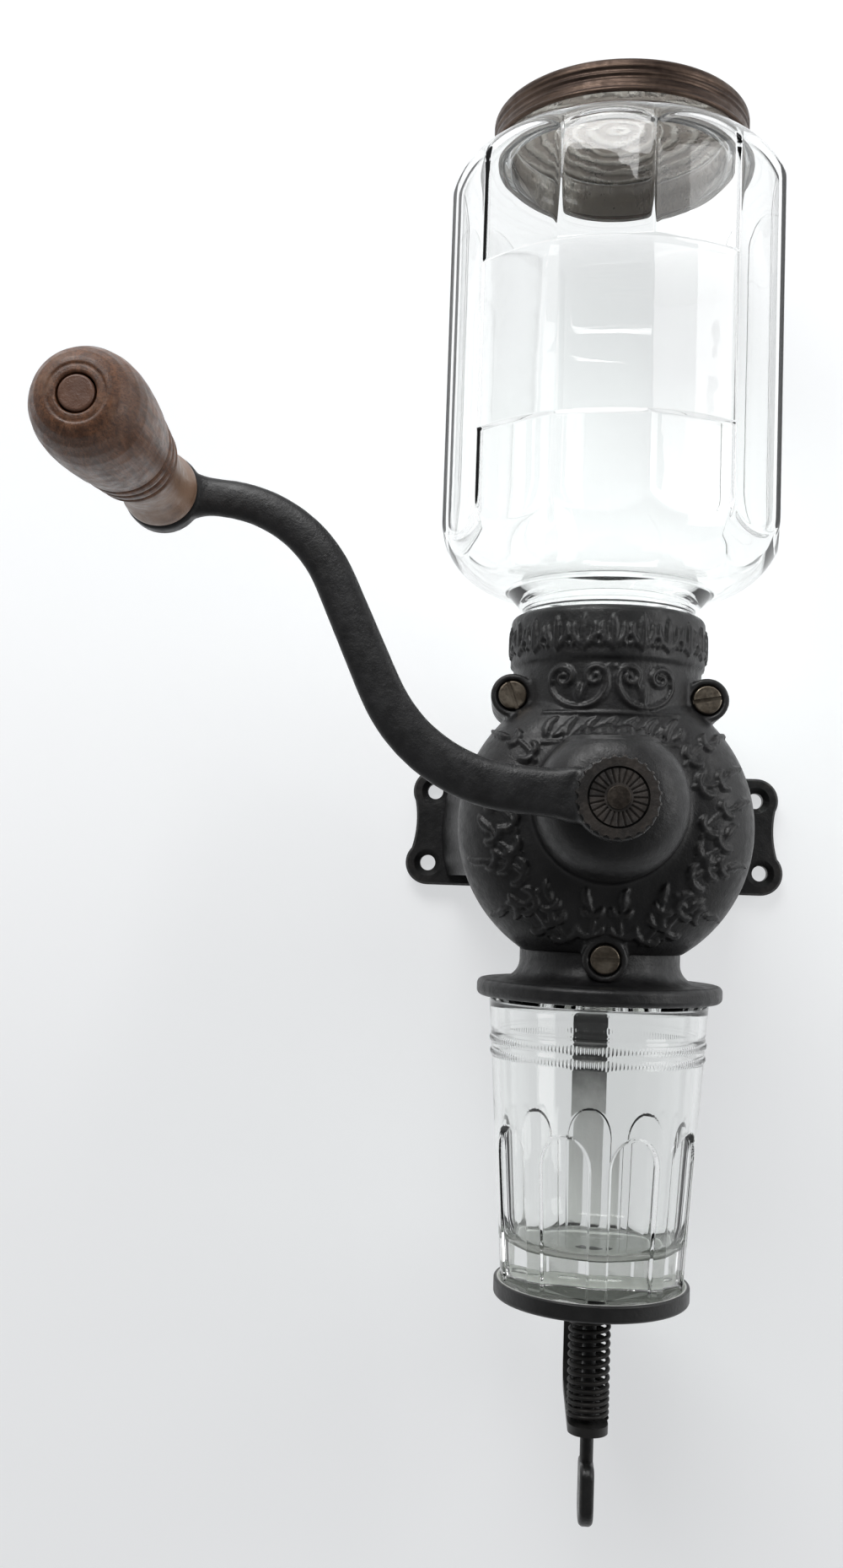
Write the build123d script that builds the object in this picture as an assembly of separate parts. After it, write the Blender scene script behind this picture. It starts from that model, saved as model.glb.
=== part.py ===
from build123d import *
import os
from math import atan2, ceil, cos, degrees, dist, pi, radians, sin, sqrt

# Wall mounted coffee mill, in millimetres.
# X runs to the right, Y towards the wall and Z up. The wall is the plane Y = 0,
# X = 0 is the middle of the mill and Z = 0 the middle of its four wall holes.
# A depth is a distance along Y from the upright axis of jar, collar and cup:
# below zero it lies towards the user, above zero towards the wall.

# Main places
WALL_TO_AXIS = 58.0
SHAFT_Z = 4.6
DRUM_Z = -1.0
LEDGE_Z = 52.0
COLLAR_TOP_Z = 66.0
BAND_BOTTOM_Z = 49.5
NECK_SPLIT_Z = -40.0
FLANGE_BOTTOM_Z = -54.9

# Clearances
RUNNING = 0.06
SEAT_GAP = 0.3
FACE_GAP = 0.2
THREAD_GAP = 0.05
OVERCUT = 1.0

# Castings
WALL = 4.0
DRUM_R = 46.0
DRUM_FRONT = -30.0
DRUM_ROUND = 19.0
COLUMN_R = 30.0
BAND_R = 31.0
BAND_ROUND = 2.2
BAND_UNDER_ROUND = 0.6
NECK_R = 25.3
NECK_FLARE = 6.0
OUTLET_R = 20.5
FLANGE_R = 38.6
FLANGE_THICK = 5.8
FLANGE_ROUND = 1.8
SPIGOT_THICK = 2.9
SPIGOT_LENGTH = 6.0
SPIGOT_ROOM = SPIGOT_LENGTH + FACE_GAP
BOSS_R = 23.0
BOSS_FRONT = -54.4
BOSS_ROUND = 13.0
BOSS_LAND_R = 11.0
BOSS_EDGE = 2.0
BACK_WALL_DEPTH = 36.0
REAR_BEARING_R = 10.0
REAR_BEARING_FRONT = 31.5
REAR_BEARING_BACK = 48.0
FLOOR_SLOPE_RISE = 21.0
RIB_THICK = 4.0

# Bean way
THROAT_R = 24.5
FEED_HOLE_R = 12.5
FEED_HOLE_DEPTH = -13.0
FEED_HOLE_Z = 30.0
FUNNEL_WALL = 3.5
WORM_TUBE_R = 18.5
WORM_TUBE_FRONT = -26.0

# Ears for the wall screws
EAR_THICK = 5.6
EAR_PAD_R = 7.8
UPPER_HOLE_X = 56.8
LOWER_HOLE_X = 58.8
HOLE_Z = 12.8
EAR_WAIST_X = 63.2
WALL_HOLE_R = 2.75
WALL_SINK_R = 4.75
EAR_EDGE = 0.8
FLARE_START = 14.0
FLARE_RISE = 8.0
FLARE_HALF_HEIGHT = 17.0

# Casing screws
SCREW_R = 2.0
SCREW_HEAD_R = 4.4
SCREW_HEAD_THICK = 2.2
SCREW_SLOT = 1.2
LEFT_SLOT_ANGLE = 110
RIGHT_SLOT_ANGLE = 10
NECK_SLOT_ANGLE = 0
SCREW_HOLE_R = 2.4
HEAD_POCKET_R = 4.9
HEAD_POCKET = 1.6
SCREW_END_GAP = 0.5
LUG_R = 6.8
LUG_X = 30.0
LUG_Z = 38.8
LUG_FRONT = -18.0
LUG_BACK = 10.0
TONGUE_Z = -41.5
TONGUE_FRONT = -28.9

# Hopper jar
JAR_SIDES = 12
JAR_CORNER_R = 54.7
JAR_TURN = 7.7
JAR_WALL = 3.5
JAR_ROUND_R = 55.2
JAR_FOOT_Z = 99.0
JAR_FOOT_ROUND = 25.0
JAR_HEAD_Z = 201.0
JAR_HEAD_ROUND = 15.5
JAR_NECK_R = 27.5
JAR_NECK_BORE = 23.5
JAR_SHOULDER_Z = 69.5
MOUTH_R = 38.8
MOUTH_BORE = 35.6
MOUTH_HEIGHT = 12.4
LABEL_R = 55.0
LABEL_BOTTOM_Z = 118.0
LABEL_TOP_Z = 170.0
LABEL_FACETS = 3
LABEL_FIRST_CORNER = -142.3

# Hopper lid
LID_TIN = 0.8
LID_SKIRT = 9.8
LID_GAP = 1.4
LID_ROUND = 2.0
BEAD_R = 0.8

# Grinding shaft
SHAFT_R = 5.0
JOURNAL_R = 4.5
JOURNAL_DEPTH = 30.0
SHAFT_BACK = 46.0
SQUARE_START = -58.6
SQUARE_SIDE = 7.0
THREAD_START = -63.6
THREAD_R = 3.3
THREAD_LEAD = 0.3
SHAFT_FRONT = -70.2
GAP_TRAVEL = 0.75

# Burrs
RING_R = 26.0
RING_LENGTH = 12.7
RING_FRONT = 0.3
RING_FRONT_BORE = 16.0
BURR_SLOPE = 0.394
BURR_GAP = 0.65
BURR_NOSE = -1.0
BURR_TEETH = 16
TOOTH_SIZE = 1.8
SEAT_TUBE_WALL = 3.8
SHOULDER_THICK = 3.0
SHOULDER_BORE = 21.2
RING_SCREW_X = 23.8
RING_SCREW_R = 1.25
RING_SCREW_HEAD_R = 2.1
RING_SCREW_HEAD = 1.2
BURR_HUB_R = 9.0
BURR_HUB_BACK = 22.0
PIN_R = 1.5
PIN_DEPTH = 18.3
WORM_FRONT = -24.0
WORM_R = 16.0
WORM_CORE_R = 8.0
WORM_BLADE = 3.4
WORM_TWIST = 250.0

# Burr spring and its washer
WASHER_R = 8.5
WASHER_THICK = 1.2
BOSS_HOLLOW_R = 19.0
BOSS_HOLLOW_FRONT = -40.0
BURR_SPRING_R = 7.2
BURR_SPRING_WIRE = 1.3
BURR_SPRING_TURNS = 4

# Crank
ARM_BACK = -58.2
ARM_THICK = 5.2
ARM_EDGE = 1.9
ARM_START_WIDTH = 16.0
ARM_END_WIDTH = 12.2
ARM_LOW_CORNER = (-55.9, 3.9)
ARM_LOW_RADIUS = 47.5
ARM_HIGH_CORNER = (-91.5, 82.1)
ARM_HIGH_RADIUS = 40.0
KNOB_X = -132.0
KNOB_RISE = 84.2
HUB_R = 12.1
HUB_FRONT = -64.6
HUB_COLLAR_R = 10.0
END_BOSS_R = 11.3
END_BOSS_FRONT = -64.2

# Adjusting nut and lock disc
NUT_R = 11.9
NUT_FRONT = -69.4
SCALLOPS = 24
SCALLOP_R = 1.25
SCALLOP_DEPTH = 1.0
NUT_RECESS_R = 8.6
NUT_RECESS = 2.6
LOCK_DISC_R = 8.0
LOCK_DISC_FRONT = -69.2
LOCK_DISC_THICK = 1.6
SERRATIONS = 24
SERRATION_SIZE = 0.7
NUT_ROUND = 0.8
HUB_ROUND = 1.2

# Knob
KNOB_BACK = -65.3
KNOB_TIP = -148.0
KNOB_BASE_R = 10.8
KNOB_BASE_LENGTH = 2.4
KNOB_BASE_ROUND = 0.6
KNOB_WAIST_R = 9.4
KNOB_WAIST = -77.0
GROOVE_START = -94.5
GROOVE_STEP = 5.6
GROOVE_START_R = 11.6
GROOVE_END_R = 13.0
GROOVE_CUT_R = 0.9
GROOVES = 3
BULGE = -131.0
BULGE_R = 14.5
TIP_FLAT_R = 7.6
SPINDLE_R = 3.1
SPINDLE_HEAD_R = 4.4
SPINDLE_HEAD = 2.3
SPINDLE_HEAD_ROUND = 0.6
HEAD_RECESS_R = 4.8
KNOB_WASHER_R = 8.6
KNOB_WASHER_THICK = 0.8
KNOB_WASHER_GAP = 0.1

# Catch cup
CUP_RIM_R = 34.5
CUP_FOOT_R = 28.2
CUP_HEIGHT = 90.8
CUP_WALL = 2.4
CUP_BASE = 15.0
CUP_RIM_ROUND = 1.0
CUP_FOOT_ROUND = 1.5
CUP_INNER_ROUND = 6.0

# Cup tray
TRAY_R = 30.5
TRAY_DEPTH = 5.3
TRAY_SHEET = 1.5
TRAY_ROUND = 1.2

# Pull stem and its finger pull
STEM_R = 2.1
STEM_HEAD_R = 3.6
PULL_NECK = 9.4
PULL_LENGTH = 19.5
PULL_WIDTH = 15.0
PULL_THICK = 4.5
PULL_LOW_ROUND = 7.1

# Cup bracket
STRAP_WIDTH = 12.5
STRAP_THICK = 2.7
STRAP_TOP_Z = -15.0
STRAP_BEND = 6.0
FOOT_TOP_Z = -184.9
FOOT_FRONT = -8.5
STEM_HOLE_R = 2.5
STRAP_NOTCH = 0.8
FOOT_END_ROUND = 5.9
STRAP_TOP_ROUND = 3.7
BRACKET_SCREW_Z = (-20.5, -33.5)
BRACKET_SCREW_R = 1.9
BRACKET_SCREW_LENGTH = 6.0
BRACKET_HEAD_R = 3.8
BRACKET_HEAD_THICK = 2.0
BRACKET_SLOT_ANGLE = 20

# Tray spring
TRAY_SPRING_R = 5.9
TRAY_SPRING_WIRE = 1.45
OPEN_TURNS = 10
CLOSE_TURNS = 5
CLOSE_PITCH = 1.95
SPRING_END_GAP = 0.15

BACK_DEPTH = WALL_TO_AXIS
MOUTH_TOP_Z = JAR_HEAD_Z + JAR_HEAD_ROUND + MOUTH_HEIGHT
RING_BACK = RING_FRONT + RING_LENGTH
RING_SCREW_SEAT = RING_FRONT + RING_SCREW_HEAD + FACE_GAP
NUT_BACK = HUB_FRONT - FACE_GAP
CUP_RIM_Z = FLANGE_BOTTOM_Z - SEAT_GAP
TRAY_FLOOR_Z = CUP_RIM_Z - CUP_HEIGHT
TRAY_BOTTOM_Z = TRAY_FLOOR_Z - TRAY_SHEET
STRAP_DEPTH = BACK_WALL_DEPTH + WALL
SHAFT_SPOT = Pos(0, -WALL_TO_AXIS, SHAFT_Z)
KNOB_SPOT = Pos(KNOB_X, -WALL_TO_AXIS, SHAFT_Z + KNOB_RISE)


# Shapes that many pieces share

def rounded(*corners):
    """Face in the local XY plane from corners (x, y) or (x, y, radius)."""
    points = [corner[:2] for corner in corners]
    radii = [corner[2] if len(corner) > 2 else 0 for corner in corners]
    return make_face(FilletPolyline(*points, radius=radii, close=True))


def upright(face):
    """Turn a face of radius and height about the upright axis."""
    return Pos(0, -WALL_TO_AXIS, 0) * revolve(Plane.XZ * face, Axis.Z)


def along(face, spot):
    """Turn a face of radius and depth about a line along Y through the spot."""
    return spot * revolve(face, Axis.Y)


def upright_rod(radius, bottom, top, depth=0.0):
    middle = Pos(0, depth - WALL_TO_AXIS, (bottom + top) / 2)
    return middle * Cylinder(radius, top - bottom)


def rod(radius, front, back, spot=SHAFT_SPOT):
    return spot * Pos(0, (front + back) / 2, 0) * Rot(90, 0, 0) * Cylinder(radius, back - front)


def spot_at(x, z):
    return Pos(x, -WALL_TO_AXIS, z)


def block(x0, x1, front, back, bottom, top):
    middle = Pos((x0 + x1) / 2, (front + back) / 2 - WALL_TO_AXIS, (bottom + top) / 2)
    return middle * Box(x1 - x0, back - front, top - bottom)


def helix_points(radius, pitches):
    """Points and directions at every half turn of a coil about Z, one pitch a turn."""
    places = []
    height = 0.0
    for turn, pitch in enumerate(pitches):
        for half in range(2):
            angle = 2 * pi * turn + pi * half
            spot = Vector(radius * cos(angle), radius * sin(angle), height)
            rise = pitch / (2 * pi)
            way = Vector(-radius * sin(angle), radius * cos(angle), rise).normalized()
            places.append((spot, way))
            height += pitch / 2
    end_way = Vector(0, radius, pitches[-1] / (2 * pi)).normalized()
    places.append((Vector(radius, 0, height), end_way))
    return places


def biarc(start, start_way, end, end_way):
    """Two arcs that leave and arrive along the given directions."""
    chord = end - start
    turn = 1 - start_way.dot(end_way)
    along_both = chord.dot(start_way + end_way)
    reach = (-along_both + sqrt(along_both ** 2 + 2 * turn * chord.dot(chord))) / (2 * turn)
    middle = (start + end + (start_way - end_way) * reach) * 0.5
    first = Edge.make_tangent_arc(start, start_way, middle)
    second = Edge.make_tangent_arc(end, end_way * -1, middle)
    return [first, second]


def least_gap(edges, wire_radius, pitch_least):
    """Least distance between the wire and itself one turn on, measured on points."""
    spacing = 1.0
    points = []
    for edge in edges:
        count = ceil(edge.length / spacing)
        points += [edge.position_at(step / count) for step in range(count)]
    near = int(pi * points[0].X / spacing)
    least = 1e9
    for index, point in enumerate(points):
        for other in points[index + near:]:
            if abs(other.Z - point.Z) < 2 * pitch_least:
                least = min(least, (other - point).length)
    return least - 2 * wire_radius


def coil(name, radius, wire, pitches):
    """One unbroken wire wound about Z from height 0, swept on biarcs of half a turn."""
    places = helix_points(radius, pitches)
    edges = []
    for (start, start_way), (end, end_way) in zip(places, places[1:]):
        edges += biarc(start, start_way, end, end_way)
    gap = least_gap(edges, wire / 2, min(pitches))
    print(name, "turns", len(pitches), "least gap", round(gap, 3))
    path = Wire(edges)
    section = Plane(origin=places[0][0], z_dir=places[0][1]) * Circle(wire / 2)
    return sweep(section, path=path)


def slotted_head(radius, thick, slot_angle):
    """Screw head about Z with its slot in the top face, seated on Z = 0."""
    head = Pos(0, 0, thick / 2) * Cylinder(radius, thick)
    head = fillet(head.edges().group_by(Axis.Z)[-1], thick / 4)
    slot = Pos(0, 0, thick) * Rot(0, 0, slot_angle) * Box(3 * radius, SCREW_SLOT, SCREW_SLOT * 2)
    return head - slot


def casing_screw(x, z, seat, length, slot_angle):
    """Slotted screw from the front, its head seated at the given depth."""
    spot = spot_at(x, z)
    head = Rot(90, 0, 0) * slotted_head(SCREW_HEAD_R, SCREW_HEAD_THICK, slot_angle)
    return spot * Pos(0, seat, 0) * head + rod(SCREW_R, seat, seat + length, spot)


# Casings

def drum_front_face(inset):
    """Half outline of the drum's front, drawn in by a wall."""
    radius = DRUM_R - inset
    front = DRUM_FRONT + inset
    return rounded((0, 0), (radius, 0), (radius, front, DRUM_ROUND - inset / 2), (0, front))


def outer_front():
    drum = along(drum_front_face(0), spot_at(0, DRUM_Z))
    boss_outline = rounded(
        (0, 0),
        (BOSS_R, 0),
        (BOSS_R, BOSS_FRONT + BOSS_EDGE, BOSS_ROUND),
        (BOSS_LAND_R, BOSS_FRONT),
        (0, BOSS_FRONT),
    )
    boss = along(boss_outline, SHAFT_SPOT)
    lugs = [rod(LUG_R, LUG_FRONT, 0, spot_at(side * LUG_X, LUG_Z)) for side in (-1, 1)]
    return drum + boss + lugs


def outer_back():
    drum = rod(DRUM_R, 0, BACK_DEPTH, spot_at(0, DRUM_Z))
    lugs = [rod(LUG_R, 0, LUG_BACK, spot_at(side * LUG_X, LUG_Z)) for side in (-1, 1)]
    return drum + lugs + ear_flare() + ear(1) + ear(-1)


def neck(grow=0.0):
    """Round neck that flows into the flange below."""
    flange_top = FLANGE_BOTTOM_Z + FLANGE_THICK + grow
    return upright(
        rounded(
            (0, DRUM_Z),
            (NECK_R + grow, DRUM_Z),
            (NECK_R + grow, flange_top, NECK_FLARE - grow),
            (FLANGE_R, flange_top - FLANGE_ROUND / 4, FLANGE_ROUND),
            (FLANGE_R, FLANGE_BOTTOM_Z, FLANGE_ROUND),
            (0, FLANGE_BOTTOM_Z),
        )
    )


def collar_and_neck():
    column = upright_rod(COLUMN_R, 0, BAND_BOTTOM_Z)
    band = upright(
        rounded(
            (0, BAND_BOTTOM_Z),
            (BAND_R, BAND_BOTTOM_Z, BAND_UNDER_ROUND),
            (BAND_R, COLLAR_TOP_Z, BAND_ROUND),
            (0, COLLAR_TOP_Z),
        )
    )
    return column + band + neck()


def ear_flare():
    """Drum wall that widens towards the ears."""
    back = BACK_DEPTH - EAR_THICK
    reach = DRUM_R + FLARE_RISE
    outline = rounded(
        (0, FLARE_START),
        (DRUM_R, FLARE_START),
        (reach, back),
        (reach, BACK_DEPTH),
        (0, BACK_DEPTH),
    )
    cone = along(outline, spot_at(0, DRUM_Z))
    return cone & block(-reach, reach, 0, BACK_DEPTH, -FLARE_HALF_HEIGHT, FLARE_HALF_HEIGHT)


def ear(side):
    """Dog-bone plate with two countersunk wall holes."""
    inner = DRUM_R - WALL
    upper = Pos(UPPER_HOLE_X, HOLE_Z) * Circle(EAR_PAD_R)
    lower = Pos(LOWER_HOLE_X, -HOLE_Z) * Circle(EAR_PAD_R)
    reach = HOLE_Z + EAR_PAD_R
    upper_side = (UPPER_HOLE_X + EAR_PAD_R, HOLE_Z)
    lower_side = (LOWER_HOLE_X + EAR_PAD_R, -HOLE_Z)
    waist = ThreePointArc(upper_side, (EAR_WAIST_X, 0), lower_side)
    inner_side = Polyline(
        lower_side,
        (LOWER_HOLE_X, -reach),
        (inner, -reach),
        (inner, reach),
        (UPPER_HOLE_X, reach),
        upper_side,
    )
    web = make_face(waist + inner_side)
    plate = extrude(Plane.XZ * (web + upper + lower), EAR_THICK)
    plate = chamfer(plate.faces().sort_by(Axis.Y)[0].outer_wire().edges(), EAR_EDGE)
    if side < 0:
        plate = mirror(plate, Plane.YZ)
    return plate


def wall_holes():
    holes = []
    front = BACK_DEPTH - EAR_THICK
    sink = WALL_SINK_R - WALL_HOLE_R
    for side in (-1, 1):
        for x, z in ((UPPER_HOLE_X, HOLE_Z), (LOWER_HOLE_X, -HOLE_Z)):
            spot = spot_at(side * x, z)
            holes.append(rod(WALL_HOLE_R, front - sink, BACK_DEPTH + sink, spot))
            cone = rounded(
                (0, front),
                (WALL_SINK_R, front),
                (WALL_HOLE_R, front + sink),
                (0, front + sink),
            )
            holes.append(along(cone, spot))
    return holes


def funnel(wall):
    """Sloping way from the jar's mouth to the worm, grown by a wall."""
    top = Pos(0, -WALL_TO_AXIS, LEDGE_Z) * Circle(THROAT_R + wall)
    low_spot = Pos(0, FEED_HOLE_DEPTH - WALL_TO_AXIS, FEED_HOLE_Z)
    low = low_spot * Circle(FEED_HOLE_R + wall)
    return loft([top, low])


def bean_way():
    """Everything the beans pass through, from the jar's neck to the burr ring."""
    drop = upright_rod(FEED_HOLE_R, SHAFT_Z + SHAFT_R, FEED_HOLE_Z, FEED_HOLE_DEPTH)
    tube = rod(WORM_TUBE_R, WORM_TUBE_FRONT, 0)
    socket = upright_rod(JAR_NECK_R + SEAT_GAP, LEDGE_Z, COLLAR_TOP_Z + WALL)
    return funnel(0) + drop + tube + socket


def front_hollow():
    """Ground coffee room in the front casing, around the funnel and the worm tube."""
    room = along(drum_front_face(WALL), spot_at(0, DRUM_Z))
    kept = funnel(FUNNEL_WALL) + rod(WORM_TUBE_R + FUNNEL_WALL, WORM_TUBE_FRONT, 0)
    drop = upright_rod(FEED_HOLE_R + FUNNEL_WALL, SHAFT_Z, FEED_HOLE_Z, FEED_HOLE_DEPTH)
    return room - kept - drop


def back_hollow():
    """Ground coffee room in the rear casing, around the ring seat, with a sloping floor."""
    floor = DRUM_Z - DRUM_R + WALL
    seat_tube = rod(RING_R + FACE_GAP + SEAT_TUBE_WALL, 0, RING_BACK + SHOULDER_THICK)
    slope_outline = Polyline(
        (OUTLET_R, floor - WALL),
        (BACK_WALL_DEPTH, floor - WALL),
        (BACK_WALL_DEPTH, floor + FLOOR_SLOPE_RISE),
        (OUTLET_R, floor),
        close=True,
    )
    slope_face = Plane.YZ * make_face(slope_outline)
    slope = Pos(0, -WALL_TO_AXIS, 0) * extrude(slope_face, DRUM_R, both=True)
    rib_bottom = SHAFT_Z - RIB_THICK / 2
    rib = block(RING_R, DRUM_R, 0, RING_BACK, rib_bottom, rib_bottom + RIB_THICK)
    ribs = [rib, mirror(rib, Plane.YZ)]
    bearing = rod(REAR_BEARING_R, REAR_BEARING_FRONT, BACK_WALL_DEPTH)
    room = rod(DRUM_R - WALL, 0, BACK_WALL_DEPTH, spot_at(0, DRUM_Z))
    return room - funnel(FUNNEL_WALL) - seat_tube - slope - ribs - bearing


def shared_cuts():
    """Bores and ways that run through both casings."""
    outlet = upright_rod(OUTLET_R, FLANGE_BOTTOM_Z - WALL, DRUM_Z - DRUM_R / 2)
    ring_seat = rod(RING_R + FACE_GAP, 0, RING_BACK)
    shoulder = rod(SHOULDER_BORE, RING_BACK, RING_BACK + SHOULDER_THICK)
    return bean_way() + outlet + ring_seat + shoulder


def front_zone():
    """Space that belongs to the front casing: before the axis and above the neck joint."""
    reach = 2 * DRUM_R
    return block(-reach, reach, -reach, 0, NECK_SPLIT_Z, COLLAR_TOP_Z + WALL)


def front_casing():
    boss_hollow = rod(BOSS_HOLLOW_R, BOSS_HOLLOW_FRONT, WORM_TUBE_FRONT)
    bearing = rod(SHAFT_R + RUNNING, BOSS_FRONT - WALL, 0)
    spigot_room = upright_rod(
        OUTLET_R + SPIGOT_THICK + FACE_GAP, NECK_SPLIT_Z - OVERCUT, NECK_SPLIT_Z + SPIGOT_ROOM
    )
    body = (outer_front() + collar_and_neck()) & front_zone()
    tongue = rod(LUG_R, TONGUE_FRONT, DRUM_FRONT + 2 * LUG_R, spot_at(0, TONGUE_Z))
    below_split = block(-DRUM_R, DRUM_R, -DRUM_R, 0, FLANGE_BOTTOM_Z, NECK_SPLIT_Z)
    tongue -= neck(FACE_GAP) & below_split
    body += tongue
    body -= front_hollow()
    body -= [shared_cuts(), boss_hollow, bearing, spigot_room]
    for x, z, front in screw_places():
        spot = spot_at(x, z)
        pocket = rod(HEAD_POCKET_R, front - WALL, front + HEAD_POCKET, spot)
        body -= [rod(SCREW_HOLE_R, front, 0, spot), pocket]
    return body


def screw_places():
    """Across, height and front depth of each casing screw's boss."""
    return [
        (-LUG_X, LUG_Z, LUG_FRONT),
        (LUG_X, LUG_Z, LUG_FRONT),
        (0, TONGUE_Z, TONGUE_FRONT),
    ]


def rear_casing():
    body = (outer_back() + collar_and_neck()) - front_zone()
    body -= [back_hollow(), shared_cuts(), *wall_holes()]
    spigot = upright_rod(OUTLET_R + SPIGOT_THICK, NECK_SPLIT_Z - WALL, NECK_SPLIT_Z + SPIGOT_LENGTH)
    spigot -= upright_rod(OUTLET_R, NECK_SPLIT_Z - 2 * WALL, NECK_SPLIT_Z + 2 * SPIGOT_LENGTH)
    body += spigot & block(-DRUM_R, DRUM_R, -DRUM_R, -FACE_GAP, 2 * NECK_SPLIT_Z, 0)
    body -= rod(DRUM_R - WALL, STRAP_DEPTH, BACK_DEPTH + OVERCUT, spot_at(0, DRUM_Z))
    body += rod(REAR_BEARING_R, BACK_WALL_DEPTH, REAR_BEARING_BACK)
    body -= rod(JOURNAL_R + RUNNING, 0, REAR_BEARING_BACK + OVERCUT)
    half_notch = STRAP_WIDTH / 2 + STRAP_NOTCH
    drum_bottom = DRUM_Z - DRUM_R
    body -= block(
        -half_notch,
        half_notch,
        STRAP_DEPTH,
        BACK_DEPTH + OVERCUT,
        drum_bottom - WALL,
        drum_bottom + 2 * WALL,
    )
    screw_bore = SCREW_R + THREAD_GAP
    ring_screw_bore = RING_SCREW_R + THREAD_GAP
    shoulder_back = RING_BACK + SHOULDER_THICK
    for side in (-1, 1):
        body -= rod(screw_bore, 0, LUG_BACK, spot_at(side * LUG_X, LUG_Z))
        ring_screw_spot = spot_at(side * RING_SCREW_X, SHAFT_Z)
        body -= rod(ring_screw_bore, RING_BACK, shoulder_back, ring_screw_spot)
    body -= rod(screw_bore, -DRUM_R, 0, spot_at(0, TONGUE_Z))
    bracket_bore = BRACKET_SCREW_R + THREAD_GAP
    for z in BRACKET_SCREW_Z:
        spot = spot_at(0, z)
        body -= rod(bracket_bore, STRAP_DEPTH - BRACKET_SCREW_LENGTH, STRAP_DEPTH, spot)
    return body


def casing_screws():
    upper_seat = LUG_FRONT + HEAD_POCKET
    upper_length = LUG_BACK - SCREW_END_GAP - upper_seat
    tongue_seat = TONGUE_FRONT + HEAD_POCKET
    tongue_length = -OUTLET_R - SCREW_END_GAP - tongue_seat
    return [
        casing_screw(-LUG_X, LUG_Z, upper_seat, upper_length, LEFT_SLOT_ANGLE),
        casing_screw(LUG_X, LUG_Z, upper_seat, upper_length, RIGHT_SLOT_ANGLE),
        casing_screw(0, TONGUE_Z, tongue_seat, tongue_length, NECK_SLOT_ANGLE),
    ]


# Hopper

def jar_outline(round_r, foot_round, head_round, neck_r, mouth_r, bottom, shoulder, top):
    """Half outline of the jar, outside or inside, as radius and height."""
    foot_x = round_r - foot_round
    head_x = round_r - head_round
    half_way = sin(radians(45))
    foot_arc = ThreePointArc(
        (foot_x, JAR_FOOT_Z - foot_round),
        (foot_x + foot_round * half_way, JAR_FOOT_Z - foot_round * half_way),
        (round_r, JAR_FOOT_Z),
    )
    head_arc = ThreePointArc(
        (round_r, JAR_HEAD_Z),
        (head_x + head_round * half_way, JAR_HEAD_Z + head_round * half_way),
        (head_x, JAR_HEAD_Z + head_round),
    )
    below = Polyline(
        (0, bottom),
        (neck_r, bottom),
        (neck_r, shoulder),
        (foot_x, JAR_FOOT_Z - foot_round),
    )
    side = Line((round_r, JAR_FOOT_Z), (round_r, JAR_HEAD_Z))
    above = Polyline(
        (head_x, JAR_HEAD_Z + head_round),
        (mouth_r, JAR_HEAD_Z + head_round),
        (mouth_r, top),
        (0, top),
        (0, bottom),
    )
    return make_face(below + foot_arc + side + head_arc + above)


def hopper_jar():
    outer = upright(
        jar_outline(
            JAR_ROUND_R,
            JAR_FOOT_ROUND,
            JAR_HEAD_ROUND,
            JAR_NECK_R,
            MOUTH_R,
            LEDGE_Z,
            JAR_SHOULDER_Z,
            MOUTH_TOP_Z,
        )
    )
    sides = RegularPolygon(JAR_CORNER_R, JAR_SIDES, rotation=JAR_TURN)
    prism = Pos(0, -WALL_TO_AXIS, LEDGE_Z) * extrude(sides, MOUTH_TOP_Z - LEDGE_Z)
    inner_r = JAR_CORNER_R * cos(pi / JAR_SIDES) - JAR_WALL
    step = JAR_ROUND_R - inner_r
    inner = upright(
        jar_outline(
            inner_r,
            JAR_FOOT_ROUND - step / 2,
            JAR_HEAD_ROUND - JAR_WALL / 2,
            JAR_NECK_BORE,
            MOUTH_BORE,
            LEDGE_Z - OVERCUT,
            JAR_SHOULDER_Z + JAR_WALL,
            MOUTH_TOP_Z + OVERCUT,
        )
    )
    return (outer & prism) + label_patch() - inner


def label_patch():
    """Plain raised patch over three of the jar's sides."""
    step = 360 / JAR_SIDES
    corners = [radians(LABEL_FIRST_CORNER + step * index) for index in range(LABEL_FACETS + 1)]
    reach = 2 * JAR_CORNER_R
    fan = [(0, 0)] + [(reach * cos(angle), reach * sin(angle)) for angle in corners]
    sector = extrude(make_face(Polyline(*fan, close=True)), LABEL_TOP_Z - LABEL_BOTTOM_Z)
    drum = upright_rod(LABEL_R, LABEL_BOTTOM_Z, LABEL_TOP_Z)
    return drum & Pos(0, -WALL_TO_AXIS, LABEL_BOTTOM_Z) * sector


def hopper_lid():
    """Tin cap with a rolled lower edge."""
    inner_r = MOUTH_R + LID_GAP
    outer_r = inner_r + LID_TIN
    top = MOUTH_TOP_Z + SEAT_GAP + LID_TIN
    shell = upright(
        rounded(
            (0, top - LID_SKIRT),
            (outer_r, top - LID_SKIRT),
            (outer_r, top, LID_ROUND),
            (0, top),
        )
    )
    hollow = upright(
        rounded(
            (0, top - LID_SKIRT - OVERCUT),
            (inner_r, top - LID_SKIRT - OVERCUT),
            (inner_r, top - LID_TIN, LID_ROUND - LID_TIN),
            (0, top - LID_TIN),
        )
    )
    bead = upright(Pos(outer_r, top - LID_SKIRT + BEAD_R) * Circle(BEAD_R))
    return shell + bead - hollow


# Grinding works

def tooth_cuts(radius, middle_depth, length):
    """Grooves along a cone about the shaft."""
    tilt = degrees(atan2(BURR_SLOPE, 1))
    groove = Rot(tilt, 0, 0) * Rot(0, 45, 0) * Box(TOOTH_SIZE, length, TOOTH_SIZE)
    cuts = []
    for index in range(BURR_TEETH):
        turn = Rot(0, index * 360 / BURR_TEETH, 0)
        cuts.append(SHAFT_SPOT * turn * Pos(0, middle_depth, radius) * groove)
    return cuts


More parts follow.
